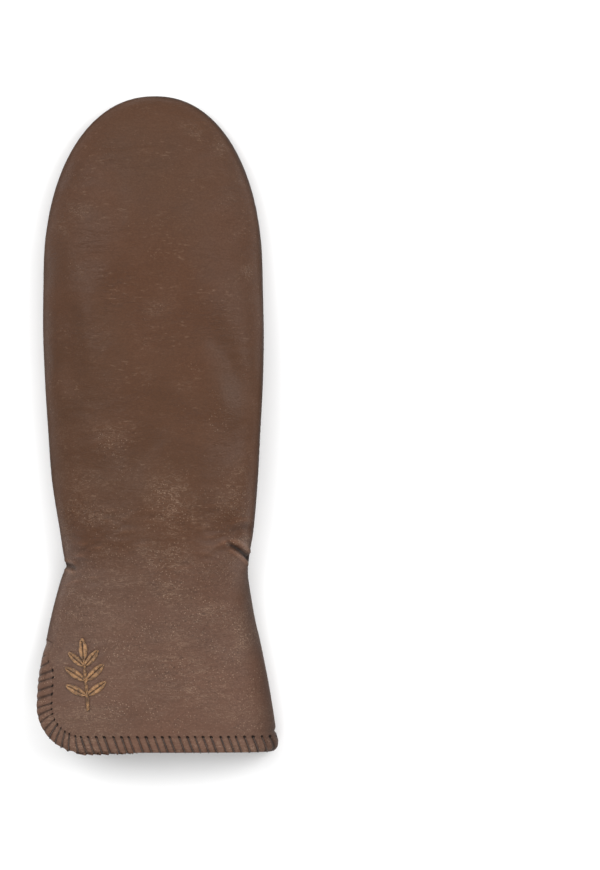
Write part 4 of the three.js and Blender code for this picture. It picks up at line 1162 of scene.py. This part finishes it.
def knit_material():
    """Dark brushed knit, with ribs under a short fuzz."""
    n = Nodes("brushed_knit")
    fuzz = n.noise(0.0007, 6, (1, 1, 1), 0.7, 1.2)
    ribs = n.node("TexWave", Vector=n.scaled(0.0045), Scale=1.0, Distortion=1.2, Detail=2.0).outputs["Fac"]
    colour = n.blend(n.ramp(fuzz, 0.3, 0.75), srgb(40, 31, 22), srgb(92, 76, 58))
    return n.finished(
        # painted shade: the furrows between the ribs are darkened
        Base_Color=n.toned(colour, (n.ramp(ribs, 0.5, 0.1), 0.65)),
        Roughness=n.ramp(fuzz, 0.2, 0.8, 0.85, 1.0), Specular_IOR_Level=0.1,
        Normal=n.bump(fuzz, 0.9, 0.0006, Normal=n.bump(ribs, 0.6, 0.0006)),
        Sheen_Weight=0.12, Sheen_Roughness=0.5, Sheen_Tint=srgb(190, 150, 120),
    )


def thread_material(name, low, high, rough):
    """Spun thread: strands twisted round it, and colour that varies along it."""
    n = Nodes(name)
    tone = n.noise(0.0016, 4, (1, 1, 1), 0.6, 0.5)
    strand = n.noise(0.0003, 2, (2.0, 0.6, 1), 0.5, 0.4, 0.7)
    colour = n.blend(n.ramp(tone, 0.32, 0.7), srgb(*low), srgb(*high))
    return n.finished(
        # painted shade: the grooves between the strands are darkened
        Base_Color=n.toned(colour, (n.ramp(strand, 0.6, 0.35), 0.72)), Sheen_Weight=0.15,
        Roughness=n.ramp(strand, 0.3, 0.7, rough - 0.06, rough + 0.08), Normal=n.bump(strand, 0.6, 0.0001),
    )


def floor_material():
    n = Nodes("pale_floor")
    colour = n.blend(n.noise(0.4, 2), (0.92, 0.92, 0.92, 1), (0.94, 0.94, 0.94, 1))
    return n.finished(Base_Color=colour, Roughness=0.9, Specular_IOR_Level=0.1)


# The photograph is 870 pixels high, and one of them is this long at the fold's height
PIXEL, FRAME_HEIGHT = 0.4275 * MM, 870
LENS, SENSOR, FOLD_AT = 300.0, 36.0, 0.0075


def studio():
    """A pale floor, soft lights and the camera straight above."""
    scene = bpy.context.scene
    bpy.ops.mesh.primitive_plane_add(size=8, location=(0.06, 0, -0.0004))
    floor = bpy.context.active_object
    floor.name = "floor"
    floor.data.materials.append(floor_material())
    world = bpy.data.worlds.new("studio")
    world.use_nodes = True
    background = world.node_tree.nodes["Background"].inputs
    background["Color"].default_value = (1, 1, 1, 1)
    background["Strength"].default_value = 0.4
    scene.world = world
    for name, place, size, power in (
        ("key", (-1.1, 0.6, 1.4), (1.2, 1.4), 22),
        ("fill", (1.3, 0.5, 1.3), (1.2, 1.4), 22),
        ("front", (0.1, -1.4, 1.4), (1.6, 0.9), 14),
        ("back", (0.1, 1.5, 1.4), (1.6, 0.9), 10),
    ):
        light = bpy.data.lights.new(name, "AREA")
        light.shape = "RECTANGLE"
        light.size, light.size_y = size
        light.energy = power
        obj = bpy.data.objects.new(name, light)
        obj.location = place
        obj.rotation_euler = (-Vector(place)).to_track_quat("-Z", "Y").to_euler()
        obj.visible_camera = False
        scene.collection.objects.link(obj)
    camera = bpy.data.objects.new("camera", bpy.data.cameras.new("camera"))
    scene.collection.objects.link(camera)
    camera.data.sensor_width = SENSOR
    camera.data.lens = LENS
    camera.location = (0.0611, -0.0049, FOLD_AT + FRAME_HEIGHT * PIXEL * LENS / SENSOR)
    scene.camera = camera
    scene.view_settings.view_transform = "Standard"


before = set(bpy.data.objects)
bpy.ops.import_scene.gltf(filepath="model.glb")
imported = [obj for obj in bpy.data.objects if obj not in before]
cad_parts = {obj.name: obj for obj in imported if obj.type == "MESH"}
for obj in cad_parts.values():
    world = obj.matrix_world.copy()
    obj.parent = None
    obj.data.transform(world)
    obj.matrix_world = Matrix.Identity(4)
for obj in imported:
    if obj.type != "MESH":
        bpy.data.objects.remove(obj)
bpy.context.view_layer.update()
studio()

back_leather = leather("leather_back", (75, 48, 30), (90, 65, 52))
palm_leather = leather("leather_palm", (75, 48, 30), (87, 63, 50), 0.1)
thumb_leather = leather("leather_thumb", (76, 49, 31), (76, 49, 31), 0.1)
knit = knit_material()
edge_thread = thread_material("edge_thread", (44, 30, 23), (74, 53, 41), 0.6)
palm_thread = thread_material("palm_thread", (98, 74, 56), (144, 114, 90), 0.6)
tan_thread = thread_material("tan_thread", (96, 66, 38), (172, 128, 84), 0.4)

back = back_piece(back_leather)
palm = palm_piece(palm_leather)
thumb = thumb_piece(thumb_leather)
lining = lining_piece(knit)
back_skin, palm_skin = Skin(back, True), Skin(palm, False)
whip_back = whip_stitches("whip_stitches_back", back_skin, True, edge_thread)
whip_palm = whip_stitches("whip_stitches_palm", palm_skin, False, palm_thread)
gathers = gather_stitches(palm_skin, palm_thread)
sprig = sprig_stitches(back_skin, tan_thread)

for piece, node, slot in (
    (back, "back_panel", "leather_back"),
    (palm, "palm_panel", "leather_palm"),
    (thumb, "thumb_stall", "leather_thumb"),
    (lining, "knitted_lining", "knit"),
    (sprig, "embroidered_sprig", "thread"),
):
    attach(piece, "root")
    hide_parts(node)
for piece in (whip_back, whip_palm, gathers):
    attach(piece, "root")
